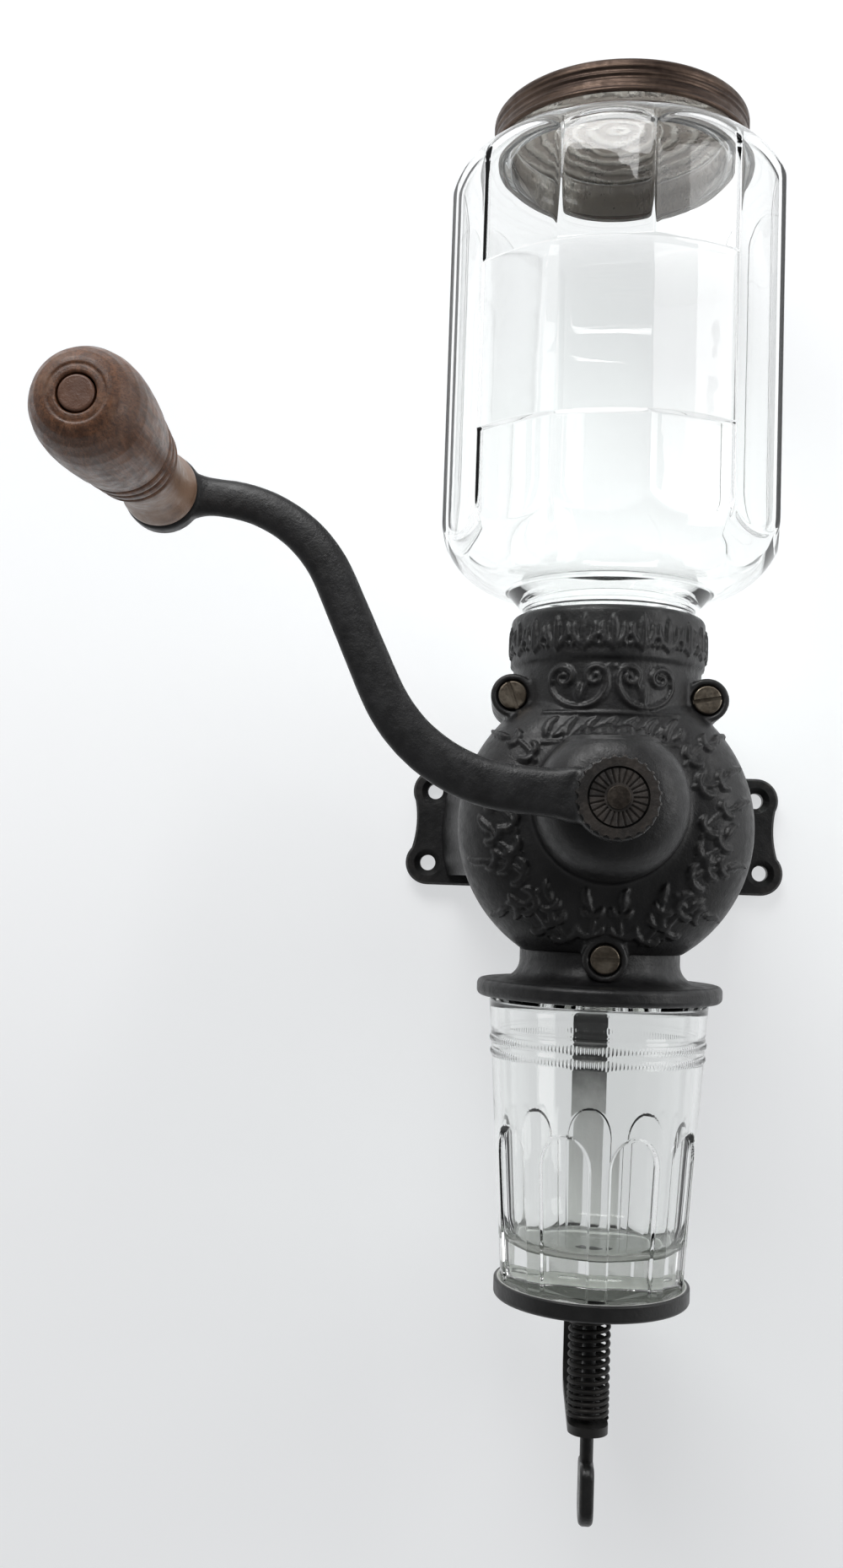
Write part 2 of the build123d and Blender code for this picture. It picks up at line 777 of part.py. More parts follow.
def ring_bore(depth):
    return RING_FRONT_BORE + BURR_SLOPE * (depth - RING_FRONT)


def burr_ring():
    middle = (RING_FRONT + RING_BACK) / 2
    outline = rounded(
        (ring_bore(RING_FRONT), RING_FRONT),
        (RING_R, RING_FRONT),
        (RING_R, RING_BACK),
        (ring_bore(RING_BACK), RING_BACK),
    )
    ring = along(outline, SHAFT_SPOT)
    ring -= tooth_cuts(ring_bore(middle), middle, 2 * RING_LENGTH)
    for side in (-1, 1):
        spot = spot_at(side * RING_SCREW_X, SHAFT_Z)
        ring -= rod(RING_SCREW_R + THREAD_GAP, RING_FRONT, RING_BACK, spot)
        ring -= rod(RING_SCREW_HEAD_R + THREAD_GAP, RING_FRONT, RING_SCREW_SEAT, spot)
    return ring


def burr_ring_screws():
    tip = RING_BACK + SHOULDER_THICK - FACE_GAP
    screws = []
    for side in (-1, 1):
        spot = spot_at(side * RING_SCREW_X, SHAFT_Z)
        head = rod(RING_SCREW_HEAD_R, RING_SCREW_SEAT - RING_SCREW_HEAD, RING_SCREW_SEAT, spot)
        screws.append(head + rod(RING_SCREW_R, RING_SCREW_SEAT, tip, spot))
    return screws


def rotating_burr():
    """Toothed cone with its feed worm in front and a pinned hub behind, one casting."""
    nose_r = ring_bore(BURR_NOSE) - BURR_GAP
    tail_r = ring_bore(RING_BACK) - BURR_GAP
    middle = (RING_FRONT + RING_BACK) / 2
    cone_outline = rounded((0, BURR_NOSE), (nose_r, BURR_NOSE), (tail_r, RING_BACK), (0, RING_BACK))
    cone = along(cone_outline, SHAFT_SPOT)
    cone -= tooth_cuts(ring_bore(middle) - BURR_GAP, middle, 2 * RING_LENGTH)
    hub = rod(BURR_HUB_R, RING_BACK, BURR_HUB_BACK)
    core = rod(WORM_CORE_R, WORM_FRONT, BURR_NOSE)
    blade = Solid.extrude_linear_with_rotation(
        Plane.XY * Rectangle(2 * WORM_R, WORM_BLADE).face(),
        (0, 0, 0),
        (0, 0, BURR_NOSE - WORM_FRONT),
        WORM_TWIST,
    )
    worm = SHAFT_SPOT * Pos(0, BURR_NOSE, 0) * Rot(90, 0, 0) * blade
    burr = cone + hub + core + worm
    burr -= rod(SHAFT_R + THREAD_GAP, WORM_FRONT - OVERCUT, BURR_HUB_BACK + OVERCUT)
    return burr - cross_hole(PIN_R + THREAD_GAP)


def cross_hole(radius):
    return Pos(0, PIN_DEPTH - WALL_TO_AXIS, SHAFT_Z) * Rot(0, 90, 0) * Cylinder(radius, 2 * BURR_HUB_R)


def grinding_shaft():
    shaft = rod(SHAFT_R, SQUARE_START, JOURNAL_DEPTH) + rod(JOURNAL_R, JOURNAL_DEPTH, SHAFT_BACK)
    half = SQUARE_SIDE / 2
    shaft += block(-half, half, THREAD_START, SQUARE_START, SHAFT_Z - half, SHAFT_Z + half)
    shaft += rod(THREAD_R, SHAFT_FRONT, THREAD_START)
    shaft = chamfer(shaft.edges().group_by(Axis.Y)[0], THREAD_LEAD)
    return shaft - cross_hole(PIN_R + THREAD_GAP)


def spring_washer():
    back = WORM_FRONT - FACE_GAP
    hole = rod(SHAFT_R + SEAT_GAP, back - 2 * WASHER_THICK, back + OVERCUT)
    return rod(WASHER_R, back - WASHER_THICK, back) - hole


def burr_spring():
    """Coil between the boss and the washer, short of it by the travel of the shaft."""
    start = BOSS_HOLLOW_FRONT + BURR_SPRING_WIRE / 2 + RUNNING
    end = WORM_FRONT - FACE_GAP - WASHER_THICK - GAP_TRAVEL - RUNNING - BURR_SPRING_WIRE / 2
    pitch = (end - start) / BURR_SPRING_TURNS
    wound = coil("burr_spring", BURR_SPRING_R, BURR_SPRING_WIRE, [pitch] * BURR_SPRING_TURNS)
    return SHAFT_SPOT * Pos(0, start, 0) * Rot(-90, 0, 0) * wound


# Crank

def arm_edge(side):
    """Corners and radii of one edge of the arm, side 1 above and -1 below its middle line."""
    middle = [(0, 0), ARM_LOW_CORNER, ARM_HIGH_CORNER, (KNOB_X, KNOB_RISE)]
    lengths = [dist(a, b) for a, b in zip(middle, middle[1:])]
    total = sum(lengths)
    corners = []
    for index, (x, z) in enumerate(middle):
        share = sum(lengths[:index]) / total
        half = (ARM_START_WIDTH + (ARM_END_WIDTH - ARM_START_WIDTH) * share) / 2
        before = middle[max(index - 1, 0)]
        after = middle[min(index + 1, 3)]
        into = Vector(x - before[0], z - before[1]) if index else Vector(after[0] - x, after[1] - z)
        out = Vector(after[0] - x, after[1] - z) if index < 3 else into
        into, out = into.normalized(), out.normalized()
        across = (into + out).normalized().rotate(Axis.Z, -90)
        mitre = half / across.dot(into.rotate(Axis.Z, -90))
        corners.append((x + side * across.X * mitre, z + side * across.Y * mitre))
    width = (ARM_START_WIDTH + ARM_END_WIDTH) / 2
    radii = [ARM_LOW_RADIUS - side * width / 2, ARM_HIGH_RADIUS + side * width / 2]
    return corners, radii


def crank_arm():
    upper, upper_radii = arm_edge(1)
    lower, lower_radii = arm_edge(-1)
    outline = (
        FilletPolyline(*upper, radius=upper_radii)
        + Line(upper[-1], lower[-1])
        + FilletPolyline(*reversed(lower), radius=list(reversed(lower_radii)))
        + Line(lower[0], upper[0])
    )
    bar = extrude(Plane.XZ * make_face(outline), ARM_THICK)
    long_edges = bar.edges().filter_by(lambda edge: abs(edge.tangent_at(0.5).Y) < 0.5)
    arm = Pos(0, ARM_BACK - WALL_TO_AXIS, SHAFT_Z) * fillet(long_edges, ARM_EDGE)
    arm += turned_boss(HUB_R, ARM_BACK, HUB_FRONT, SHAFT_SPOT)
    arm += rod(HUB_COLLAR_R, ARM_BACK, BOSS_FRONT - SEAT_GAP)
    arm += turned_boss(END_BOSS_R, ARM_BACK, END_BOSS_FRONT, KNOB_SPOT)
    round_end = SQUARE_START - GAP_TRAVEL - 2 * RUNNING
    half = SQUARE_SIDE / 2 + RUNNING
    arm -= rod(SHAFT_R + RUNNING, round_end, 0)
    arm -= block(-half, half, HUB_FRONT - OVERCUT, 0, SHAFT_Z - half, SHAFT_Z + half)
    return arm - rod(SPINDLE_R + RUNNING, END_BOSS_FRONT - OVERCUT, 0, KNOB_SPOT)


def turned_boss(radius, back, front, spot):
    """Round boss with rounded edges about a line along Y through the spot."""
    outline = rounded((0, front), (radius, front, HUB_ROUND), (radius, back, HUB_ROUND), (0, back))
    return along(outline, spot)


def adjusting_nut():
    nut = rod(NUT_R, NUT_FRONT, NUT_BACK)
    nut = fillet(nut.edges().group_by(Axis.Y)[0], NUT_ROUND)
    reach = NUT_R + SCALLOP_R - SCALLOP_DEPTH
    for index in range(SCALLOPS):
        angle = 2 * pi * index / SCALLOPS
        spot = SHAFT_SPOT * Pos(reach * cos(angle), 0, reach * sin(angle))
        nut -= rod(SCALLOP_R, NUT_FRONT - OVERCUT, NUT_BACK + OVERCUT, spot)
    nut -= rod(NUT_RECESS_R, NUT_FRONT - OVERCUT, NUT_FRONT + NUT_RECESS)
    return nut - rod(THREAD_R + RUNNING, NUT_FRONT, 0)


def nut_lock_disc():
    disc = rod(LOCK_DISC_R, LOCK_DISC_FRONT, LOCK_DISC_FRONT + LOCK_DISC_THICK)
    groove = Rot(45, 0, 0) * Box(LOCK_DISC_R, SERRATION_SIZE, SERRATION_SIZE)
    for index in range(SERRATIONS):
        turn = Rot(0, index * 360 / SERRATIONS, 0)
        disc -= SHAFT_SPOT * turn * Pos(LOCK_DISC_R, LOCK_DISC_FRONT, 0) * groove
    return disc - rod(THREAD_R + THREAD_GAP, LOCK_DISC_FRONT - OVERCUT, 0)


# Knob

def crank_knob():
    base_ring = (KNOB_BASE_R, KNOB_BACK - KNOB_BASE_LENGTH)
    flow = Spline(base_ring, (KNOB_WAIST_R, KNOB_WAIST), (GROOVE_START_R, GROOVE_START))
    grooves_end = GROOVE_START - GROOVES * GROOVE_STEP
    belly = ThreePointArc((GROOVE_END_R, grooves_end), (BULGE_R, BULGE), (TIP_FLAT_R, KNOB_TIP))
    base = Polyline(
        (0, KNOB_TIP),
        (0, KNOB_BACK),
        (KNOB_BASE_R - KNOB_BASE_ROUND, KNOB_BACK),
        (KNOB_BASE_R, KNOB_BACK - KNOB_BASE_ROUND),
        base_ring,
    )
    outline = (
        base
        + flow
        + Line((GROOVE_START_R, GROOVE_START), (GROOVE_END_R, grooves_end))
        + belly
        + Line((TIP_FLAT_R, KNOB_TIP), (0, KNOB_TIP))
    )
    knob = along(make_face(outline), KNOB_SPOT)
    for index in range(GROOVES):
        share = (index + 0.5) / GROOVES
        radius = GROOVE_START_R + (GROOVE_END_R - GROOVE_START_R) * share
        ring = Pos(radius, GROOVE_START - GROOVE_STEP * GROOVES * share) * Circle(GROOVE_CUT_R)
        knob -= along(ring, KNOB_SPOT)
    knob -= rod(SPINDLE_R + RUNNING, KNOB_TIP - OVERCUT, 0, KNOB_SPOT)
    recess = rod(HEAD_RECESS_R, KNOB_TIP - OVERCUT, KNOB_TIP + SPINDLE_HEAD + FACE_GAP, KNOB_SPOT)
    return knob - recess


def knob_spindle():
    head = rod(SPINDLE_HEAD_R, KNOB_TIP, KNOB_TIP + SPINDLE_HEAD, KNOB_SPOT)
    head = fillet(head.edges().group_by(Axis.Y)[0], SPINDLE_HEAD_ROUND)
    return head + rod(SPINDLE_R, KNOB_TIP + SPINDLE_HEAD, ARM_BACK, KNOB_SPOT)


def knob_washer():
    back = END_BOSS_FRONT - KNOB_WASHER_GAP
    front = back - KNOB_WASHER_THICK
    hole = rod(SPINDLE_R + RUNNING, front - OVERCUT, back + OVERCUT, KNOB_SPOT)
    return rod(KNOB_WASHER_R, front, back, KNOB_SPOT) - hole


# Cup and its carrier

def catch_cup():
    inner_bottom = TRAY_FLOOR_Z + CUP_BASE
    outer = upright(
        rounded(
            (0, TRAY_FLOOR_Z),
            (CUP_FOOT_R, TRAY_FLOOR_Z, CUP_FOOT_ROUND),
            (CUP_RIM_R, CUP_RIM_Z, CUP_RIM_ROUND),
            (0, CUP_RIM_Z),
        )
    )
    lean = (CUP_RIM_R - CUP_FOOT_R) / CUP_HEIGHT
    inner_low_r = CUP_FOOT_R + lean * CUP_BASE - CUP_WALL
    hollow_top = CUP_RIM_Z + OVERCUT
    hollow = upright(
        rounded(
            (0, inner_bottom),
            (inner_low_r, inner_bottom, CUP_INNER_ROUND),
            (CUP_RIM_R - CUP_WALL + lean * OVERCUT, hollow_top),
            (0, hollow_top),
        )
    )
    return outer - hollow


def cup_tray():
    top = TRAY_BOTTOM_Z + TRAY_DEPTH
    dish = upright(
        rounded(
            (0, TRAY_BOTTOM_Z),
            (TRAY_R, TRAY_BOTTOM_Z, TRAY_ROUND),
            (TRAY_R, top, TRAY_SHEET / 3),
            (0, top),
        )
    )
    dish -= upright_rod(TRAY_R - TRAY_SHEET, TRAY_FLOOR_Z, top + OVERCUT)
    return dish - stem_top(RUNNING)


def stem_top(gap):
    """Countersunk end of the stem in the tray's floor, grown by a gap."""
    return upright(
        rounded(
            (0, TRAY_BOTTOM_Z),
            (STEM_R + gap, TRAY_BOTTOM_Z),
            (STEM_HEAD_R + gap, TRAY_FLOOR_Z),
            (0, TRAY_FLOOR_Z),
        )
    )


def pull_stem():
    foot_bottom = FOOT_TOP_Z - STRAP_THICK
    pull_top = foot_bottom - PULL_NECK
    stem = upright_rod(STEM_R, pull_top - STEM_R, TRAY_BOTTOM_Z) + stem_top(0)
    half = PULL_WIDTH / 2
    outline = rounded(
        (-half, pull_top, half / 2),
        (half, pull_top, half / 2),
        (half, pull_top - PULL_LENGTH, PULL_LOW_ROUND),
        (-half, pull_top - PULL_LENGTH, PULL_LOW_ROUND),
    )
    pull = Pos(0, -WALL_TO_AXIS, 0) * extrude(Plane.YZ * outline, PULL_THICK / 2, both=True)
    rim = pull.edges().filter_by(lambda edge: abs(edge.tangent_at(0.5).X) < 0.5)
    pull = fillet(rim, PULL_THICK / 3)
    return stem + pull


def cup_bracket():
    back = STRAP_DEPTH + STRAP_THICK
    bottom = FOOT_TOP_Z - STRAP_THICK
    profile = rounded(
        (STRAP_DEPTH, STRAP_TOP_Z),
        (back, STRAP_TOP_Z),
        (back, bottom, STRAP_BEND + STRAP_THICK),
        (FOOT_FRONT, bottom),
        (FOOT_FRONT, FOOT_TOP_Z),
        (STRAP_DEPTH, FOOT_TOP_Z, STRAP_BEND),
    )
    strap = Pos(0, -WALL_TO_AXIS, 0) * extrude(Plane.YZ * profile, STRAP_WIDTH / 2, both=True)
    foot_ends = strap.edges().filter_by(Axis.Z).group_by(Axis.Y)[0]
    strap = fillet(foot_ends, FOOT_END_ROUND)
    top_ends = strap.edges().filter_by(Axis.Y).group_by(Axis.Z)[-1]
    strap = fillet(top_ends, STRAP_TOP_ROUND)
    strap -= upright_rod(STEM_HOLE_R, bottom - OVERCUT, FOOT_TOP_Z + OVERCUT)
    for z in BRACKET_SCREW_Z:
        strap -= rod(BRACKET_SCREW_R + 2 * RUNNING, STRAP_DEPTH, back, spot_at(0, z))
    return strap


def bracket_screws():
    back = STRAP_DEPTH + STRAP_THICK
    tip = STRAP_DEPTH - BRACKET_SCREW_LENGTH + FACE_GAP
    turned_head = Rot(-90, 0, 0) * slotted_head(BRACKET_HEAD_R, BRACKET_HEAD_THICK, BRACKET_SLOT_ANGLE)
    screws = []
    for z in BRACKET_SCREW_Z:
        spot = spot_at(0, z)
        head = spot * Pos(0, back, 0) * turned_head
        screws.append(head + rod(BRACKET_SCREW_R, tip, back, spot))
    return screws


def tray_spring():
    """Coil from the foot to the tray: close turns below, open turns above."""
    start = FOOT_TOP_Z + SPRING_END_GAP + TRAY_SPRING_WIRE / 2
    end = TRAY_BOTTOM_Z - SPRING_END_GAP - TRAY_SPRING_WIRE / 2
    open_pitch = (end - start - CLOSE_TURNS * CLOSE_PITCH) / OPEN_TURNS
    pitches = [CLOSE_PITCH] * CLOSE_TURNS + [open_pitch] * OPEN_TURNS
    wound = coil("tray_spring", TRAY_SPRING_R, TRAY_SPRING_WIRE, pitches)
    return Pos(0, -WALL_TO_AXIS, start) * wound


def burr_pin():
    return cross_hole(PIN_R)


PIECES = [
    rear_casing,
    front_casing,
    casing_screws,
    hopper_jar,
    hopper_lid,
    burr_ring,
    burr_ring_screws,
    rotating_burr,
    burr_pin,
    grinding_shaft,
    spring_washer,
    burr_spring,
    crank_arm,
    adjusting_nut,
    nut_lock_disc,
    crank_knob,
    knob_spindle,
    knob_washer,
    catch_cup,
    cup_tray,
    pull_stem,
    tray_spring,
    cup_bracket,
    bracket_screws,
]

os.makedirs("parts", exist_ok=True)
for piece in PIECES:
    made = piece()
    solids = made if isinstance(made, list) else [made]
    solids = [solid for shape in solids for solid in shape.solids()]
    print(piece.__name__, len(solids), round(sum(solid.volume for solid in solids)))
    whole = solids[0] if len(solids) == 1 else Compound(children=solids)
    export_step(whole, f"parts/{piece.__name__}.step")
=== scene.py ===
from math import ceil, cos, pi, radians, sin

import bpy
import numpy as np
from mathutils import Matrix, Vector


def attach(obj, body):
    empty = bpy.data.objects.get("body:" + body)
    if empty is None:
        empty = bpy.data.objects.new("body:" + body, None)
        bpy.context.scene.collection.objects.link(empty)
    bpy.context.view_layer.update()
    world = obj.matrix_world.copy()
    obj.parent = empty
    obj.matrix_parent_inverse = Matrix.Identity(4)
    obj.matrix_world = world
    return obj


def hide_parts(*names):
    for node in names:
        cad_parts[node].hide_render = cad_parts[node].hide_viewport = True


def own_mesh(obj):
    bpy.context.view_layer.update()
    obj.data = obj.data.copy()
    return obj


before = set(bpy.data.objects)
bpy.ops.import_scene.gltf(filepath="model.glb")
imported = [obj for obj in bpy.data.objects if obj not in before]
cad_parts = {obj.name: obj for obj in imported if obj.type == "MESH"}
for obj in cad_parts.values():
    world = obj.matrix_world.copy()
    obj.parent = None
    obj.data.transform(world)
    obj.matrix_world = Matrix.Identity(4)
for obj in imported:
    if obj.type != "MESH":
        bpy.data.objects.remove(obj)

# Looks of the wall mounted coffee mill. Blender works in metres in the frame of the solids;
# the sizes below are written in millimetres and multiplied by MM where they are used.
# A depth is a distance along Y from the upright axis of jar and cup, below zero in front.

MM = 0.001
AXIS_Y = -58.0
SHAFT_Z = 4.6
TRAY_FLOOR_Z, TRAY_BORE_R = -146.0, 29.3
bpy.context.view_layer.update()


# Meshes

def new_object(name, points, faces, materials, slots=None):
    """Smooth mesh object from points in millimetres."""
    mesh = bpy.data.meshes.new(name)
    mesh.from_pydata([tuple(point) for point in np.asarray(points) * MM], [], faces)
    mesh.update()
    for material in materials:
        mesh.materials.append(material)
    if slots is not None:
        mesh.polygons.foreach_set("material_index", np.asarray(slots, np.int32))
    mesh.polygons.foreach_set("use_smooth", np.ones(len(mesh.polygons), bool))
    made = bpy.data.objects.new(name, mesh)
    bpy.context.scene.collection.objects.link(made)
    return made


def stands_for(piece, body, slot, *nodes):
    """The piece rides on the body and is shown in place of the nodes."""
    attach(piece, body)
    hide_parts(*nodes)


def ring_faces(rows, columns, flip=False):
    """Quads of a closed tube of points, row by row."""
    faces = []
    for row in range(rows - 1):
        for column in range(columns):
            after = (column + 1) % columns
            a = row * columns + column
            b = row * columns + after
            c, d = b + columns, a + columns
            faces.append((d, c, b, a) if flip else (a, b, c, d))
    return faces


def rings(radii, heights, angles):
    """Points of rings about the upright axis: radii by row and column, heights by row."""
    x = radii * np.cos(angles)[None, :]
    y = AXIS_Y + radii * np.sin(angles)[None, :]
    z = np.broadcast_to(heights[:, None], radii.shape)
    return np.stack([x, y, z], axis=-1).reshape(-1, 3)


def closed_shell(name, outer, inner, columns, materials):
    """Closed mesh of an outer skin going up and an inner skin coming down."""
    rows = (len(outer) + len(inner)) // columns
    points = np.concatenate([outer, inner])
    faces = ring_faces(rows, columns)
    last = (rows - 1) * columns
    faces += [
        (last + column, last + (column + 1) % columns, (column + 1) % columns, column)
        for column in range(columns)
    ]
    return new_object(name, points, faces, materials)


def spaced(corners, step):
    """Points along a line of corners, no further apart than the step."""
    out = [np.asarray(corners[0], float)]
    for a, b in zip(corners, corners[1:]):
        a, b = np.asarray(a, float), np.asarray(b, float)
        count = max(1, ceil(np.linalg.norm(b - a) / step))
        out += [a + (b - a) * (index + 1) / count for index in range(count)]
    return np.array(out)


def arc(centre, radius, start, end, count):
    """Points of an arc, angles in degrees."""
    return [
        (centre[0] + radius * cos(radians(t)), centre[1] + radius * sin(radians(t)))
        for t in np.linspace(start, end, count)
    ]


def soft_min(a, b, width):
    """The lesser of two values, rounded off where they are nearer than the width."""
    near = np.maximum(width - np.abs(a - b), 0) / width
    return np.minimum(a, b) - near * near * width / 4


def soft_step(value, low, high):
    """Zero up to low, one from high, and a smooth rise between them."""
    t = np.clip((value - low) / (high - low), 0, 1)
    return t * t * (3 - 2 * t)


def turned(name, outline, spot, materials, columns, step):
    """Lathe work about a line along Y through the spot (x, z); outline is (radius, depth)."""
    profile = spaced(outline, step)
    angles = np.linspace(0, 2 * pi, columns, endpoint=False)
    points = []
    for radius, depth in profile:
        for angle in angles:
            x = spot[0] + radius * cos(angle)
            z = spot[1] + radius * sin(angle)
            points.append((x, AXIS_Y + depth, z))
    return new_object(name, points, ring_faces(len(profile), columns), materials)


# Materials

# Places of the colour sockets in a Mix node, which has sockets of the same name for other kinds

MIX_FIRST_COLOUR, MIX_SECOND_COLOUR, MIX_COLOUR_OUT = 6, 7, 2


class Paint:
    """A procedural material with its nodes added in short calls."""

    def __init__(self, name, **values):
        self.material = bpy.data.materials.new(name)
        self.material.use_nodes = True
        self.tree = self.material.node_tree
        self.shader = self.tree.nodes["Principled BSDF"]
        self.output = self.tree.nodes["Material Output"]
        for key, value in values.items():
            self.shader.inputs[key.replace("_", " ")].default_value = value
        coordinates = self.node("ShaderNodeTexCoord")
        self.place = self.node("ShaderNodeMapping")
        self.place.inputs["Scale"].default_value = (1 / MM, 1 / MM, 1 / MM)
        self.link(coordinates.outputs["Object"], self.place.inputs["Vector"])
        self.spot = self.place.outputs["Vector"]

    def node(self, kind, **settings):
        made = self.tree.nodes.new(kind)
        for key, value in settings.items():
            setattr(made, key, value)
        return made

    def link(self, start, end):
        self.tree.links.new(start, end)

    def put(self, value, socket):
        """Links an output to the socket, or sets the socket to a plain value."""
        if hasattr(value, "links"):
            self.link(value, socket)
        else:
            socket.default_value = value

    def noise(self, scale, detail=3.0, roughness=0.55, distortion=0.0, stretch=None, move=(0, 0, 0)):
        """Noise by its scale in waves a millimetre."""
        spot = self.spot
        if stretch or move != (0, 0, 0):
            mapping = self.node("ShaderNodeMapping")
            mapping.inputs["Scale"].default_value = stretch or (1, 1, 1)
            mapping.inputs["Location"].default_value = move
            self.link(self.spot, mapping.inputs["Vector"])
            spot = mapping.outputs["Vector"]
        made = self.node("ShaderNodeTexNoise")
        self.link(spot, made.inputs["Vector"])
        made.inputs["Scale"].default_value = scale
        made.inputs["Detail"].default_value = detail
        made.inputs["Roughness"].default_value = roughness
        made.inputs["Distortion"].default_value = distortion
        return made.outputs["Fac"]

    def ramp(self, value, low, high, start=0.0, end=1.0):
        """The value carried smoothly from the span low to high to the span start to end."""
        made = self.node("ShaderNodeMapRange", interpolation_type="SMOOTHSTEP")
        self.put(value, made.inputs["Value"])
        made.inputs["From Min"].default_value = low
        made.inputs["From Max"].default_value = high
        made.inputs["To Min"].default_value = start
        made.inputs["To Max"].default_value = end
        return made.outputs["Result"]

    def sums(self, operation, a, b=0.0):
        made = self.node("ShaderNodeMath", operation=operation)
        self.put(a, made.inputs[0])
        self.put(b, made.inputs[1])
        return made.outputs["Value"]

    def height(self):
        """Height above the origin, in millimetres."""
        parts = self.node("ShaderNodeSeparateXYZ")
        self.link(self.spot, parts.inputs["Vector"])
        return parts.outputs["Z"]

    def reach(self):
        """Distance from the upright axis of jar and cup, in millimetres."""
        middle = self.node("ShaderNodeVectorMath", operation="SUBTRACT")
        self.link(self.spot, middle.inputs[0])
        middle.inputs[1].default_value = (0, AXIS_Y, 0)
        flat = self.node("ShaderNodeVectorMath", operation="MULTIPLY")
        self.link(middle.outputs["Vector"], flat.inputs[0])
        flat.inputs[1].default_value = (1, 1, 0)
        length = self.node("ShaderNodeVectorMath", operation="LENGTH")
        self.link(flat.outputs["Vector"], length.inputs[0])
        return length.outputs["Value"]

    def blend(self, share, a, b):
        made = self.node("ShaderNodeMix", data_type="RGBA")
        self.put(share, made.inputs["Factor"])
        self.put((*a, 1) if isinstance(a, tuple) else a, made.inputs[MIX_FIRST_COLOUR])
        self.put((*b, 1) if isinstance(b, tuple) else b, made.inputs[MIX_SECOND_COLOUR])
        return made.outputs[MIX_COLOUR_OUT]

    def bump(self, height, distance, strength=1.0):
        """Fine unevenness from a height, its distance in millimetres."""
        made = self.node("ShaderNodeBump")
        made.inputs["Distance"].default_value = distance * MM
        made.inputs["Strength"].default_value = strength
        self.link(height, made.inputs["Height"])
        self.link(made.outputs["Normal"], self.shader.inputs["Normal"])

    def colour(self, value):
        self.put(value, self.shader.inputs["Base Color"])

    def rough(self, value):
        self.put(value, self.shader.inputs["Roughness"])


def iron_paint(name, dark, pale, shine, wear=0.35):
    """Old black finish on cast iron, with brown specks of wear, and paler edges and high spots that are
    partly wear and partly painted highlight.
    """
    paint = Paint(name)
    clouds = paint.noise(0.09, 5, 0.6)
    grain = paint.noise(1.6, 4, 0.6)
    colour = paint.blend(paint.ramp(clouds, 0.35, 0.7), dark, pale)
    specks = paint.ramp(paint.noise(0.75, 6, 0.7, 0.4), 0.64, 0.74, 0, wear)
    colour = paint.blend(specks, colour, (0.075, 0.052, 0.038))
    # Paler colour on sharp and raised edges: partly worn finish, partly painted highlight.
    geometry = paint.node("ShaderNodeNewGeometry")
    edges = paint.ramp(geometry.outputs["Pointiness"], 0.52, 0.60, 0, 0.5)
    edges = paint.sums("MULTIPLY", edges, paint.ramp(paint.noise(0.35, 4, 0.6), 0.4, 0.65))
    colour = paint.blend(edges, colour, (0.062, 0.052, 0.046))
    paint.colour(colour)
    paint.rough(paint.ramp(paint.noise(0.3, 5, 0.65), 0.3, 0.75, shine - 0.07, shine + 0.12))
    height = paint.sums("ADD", paint.noise(0.5, 4, 0.6), paint.sums("MULTIPLY", grain, 0.45))
    paint.bump(height, 0.16)
    return paint.material


def steel_paint(name, dark, pale, shine, metal=1.0):
    """Bare steel with stains and fine brown specks."""
    paint = Paint(name, Metallic=metal)
    stains = paint.noise(0.22, 4, 0.55)
    colour = paint.blend(paint.ramp(stains, 0.35, 0.68), dark, pale)
    rust = paint.ramp(paint.noise(2.6, 5, 0.65), 0.55, 0.75, 0, 0.5)
    paint.colour(paint.blend(rust, colour, (0.060, 0.040, 0.028)))
    paint.rough(paint.ramp(paint.noise(0.9, 4, 0.6), 0.3, 0.7, shine, shine + 0.2))
    paint.bump(paint.noise(2.2, 4, 0.6), 0.03)
    return paint.material


def glass_paint(name, tint):
    """Clear glass that lets the lamps' light through to what stands behind it."""
    paint = Paint(name, Transmission_Weight=1.0, IOR=1.5, Roughness=0.0)
    faint = paint.noise(0.035, 2, 0.5)
    paint.colour(paint.blend(faint, tint, (1.0, 1.0, 1.0)))
    paint.bump(paint.noise(0.06, 2, 0.45), 0.12, 0.3)
    paths = paint.node("ShaderNodeLightPath")
    clear = paint.node("ShaderNodeBsdfTransparent")
    clear.inputs["Color"].default_value = (0.95, 0.97, 0.96, 1)
    mixed = paint.node("ShaderNodeMixShader")
    paint.link(paths.outputs["Is Shadow Ray"], mixed.inputs["Fac"])
    paint.link(paint.shader.outputs["BSDF"], mixed.inputs[1])
    paint.link(clear.outputs["BSDF"], mixed.inputs[2])
    paint.link(mixed.outputs["Shader"], paint.output.inputs["Surface"])
    return paint.material


def wood_paint():
    """Turned hardwood: brown varnish worn grey-brown, darker at the end, paler at the waist."""
    paint = Paint("worn_wood")
    grain = paint.noise(0.5, 6, 0.6, 0.6, stretch=(1.0, 0.08, 1.0))
    fine = paint.noise(2.4, 5, 0.65, 0.2, stretch=(1.0, 0.06, 1.0))
    colour = paint.blend(paint.ramp(grain, 0.3, 0.7), (0.072, 0.028, 0.013), (0.195, 0.086, 0.043))
    streaks = paint.ramp(fine, 0.45, 0.62, 0, 0.7)
    colour = paint.blend(streaks, colour, (0.045, 0.022, 0.012))
    depth = paint.node("ShaderNodeSeparateXYZ")
    paint.link(paint.spot, depth.inputs["Vector"])
    neck = paint.ramp(depth.outputs["Y"], AXIS_Y - 100, AXIS_Y - 84)
    patchy = paint.sums("MULTIPLY", neck, paint.ramp(paint.noise(0.12, 4, 0.6), 0.3, 0.6, 0.25, 0.9))
    colour = paint.blend(patchy, colour, (0.32, 0.20, 0.135))
    wear = paint.ramp(paint.noise(0.16, 5, 0.65, move=(3, 9, 4)), 0.52, 0.68, 0, 0.55)
    colour = paint.blend(wear, colour, (0.23, 0.125, 0.075))
    paint.colour(colour)
    paint.rough(paint.ramp(paint.noise(0.3, 4, 0.6), 0.3, 0.7, 0.30, 0.5))
    paint.bump(fine, 0.10)
    return paint.material


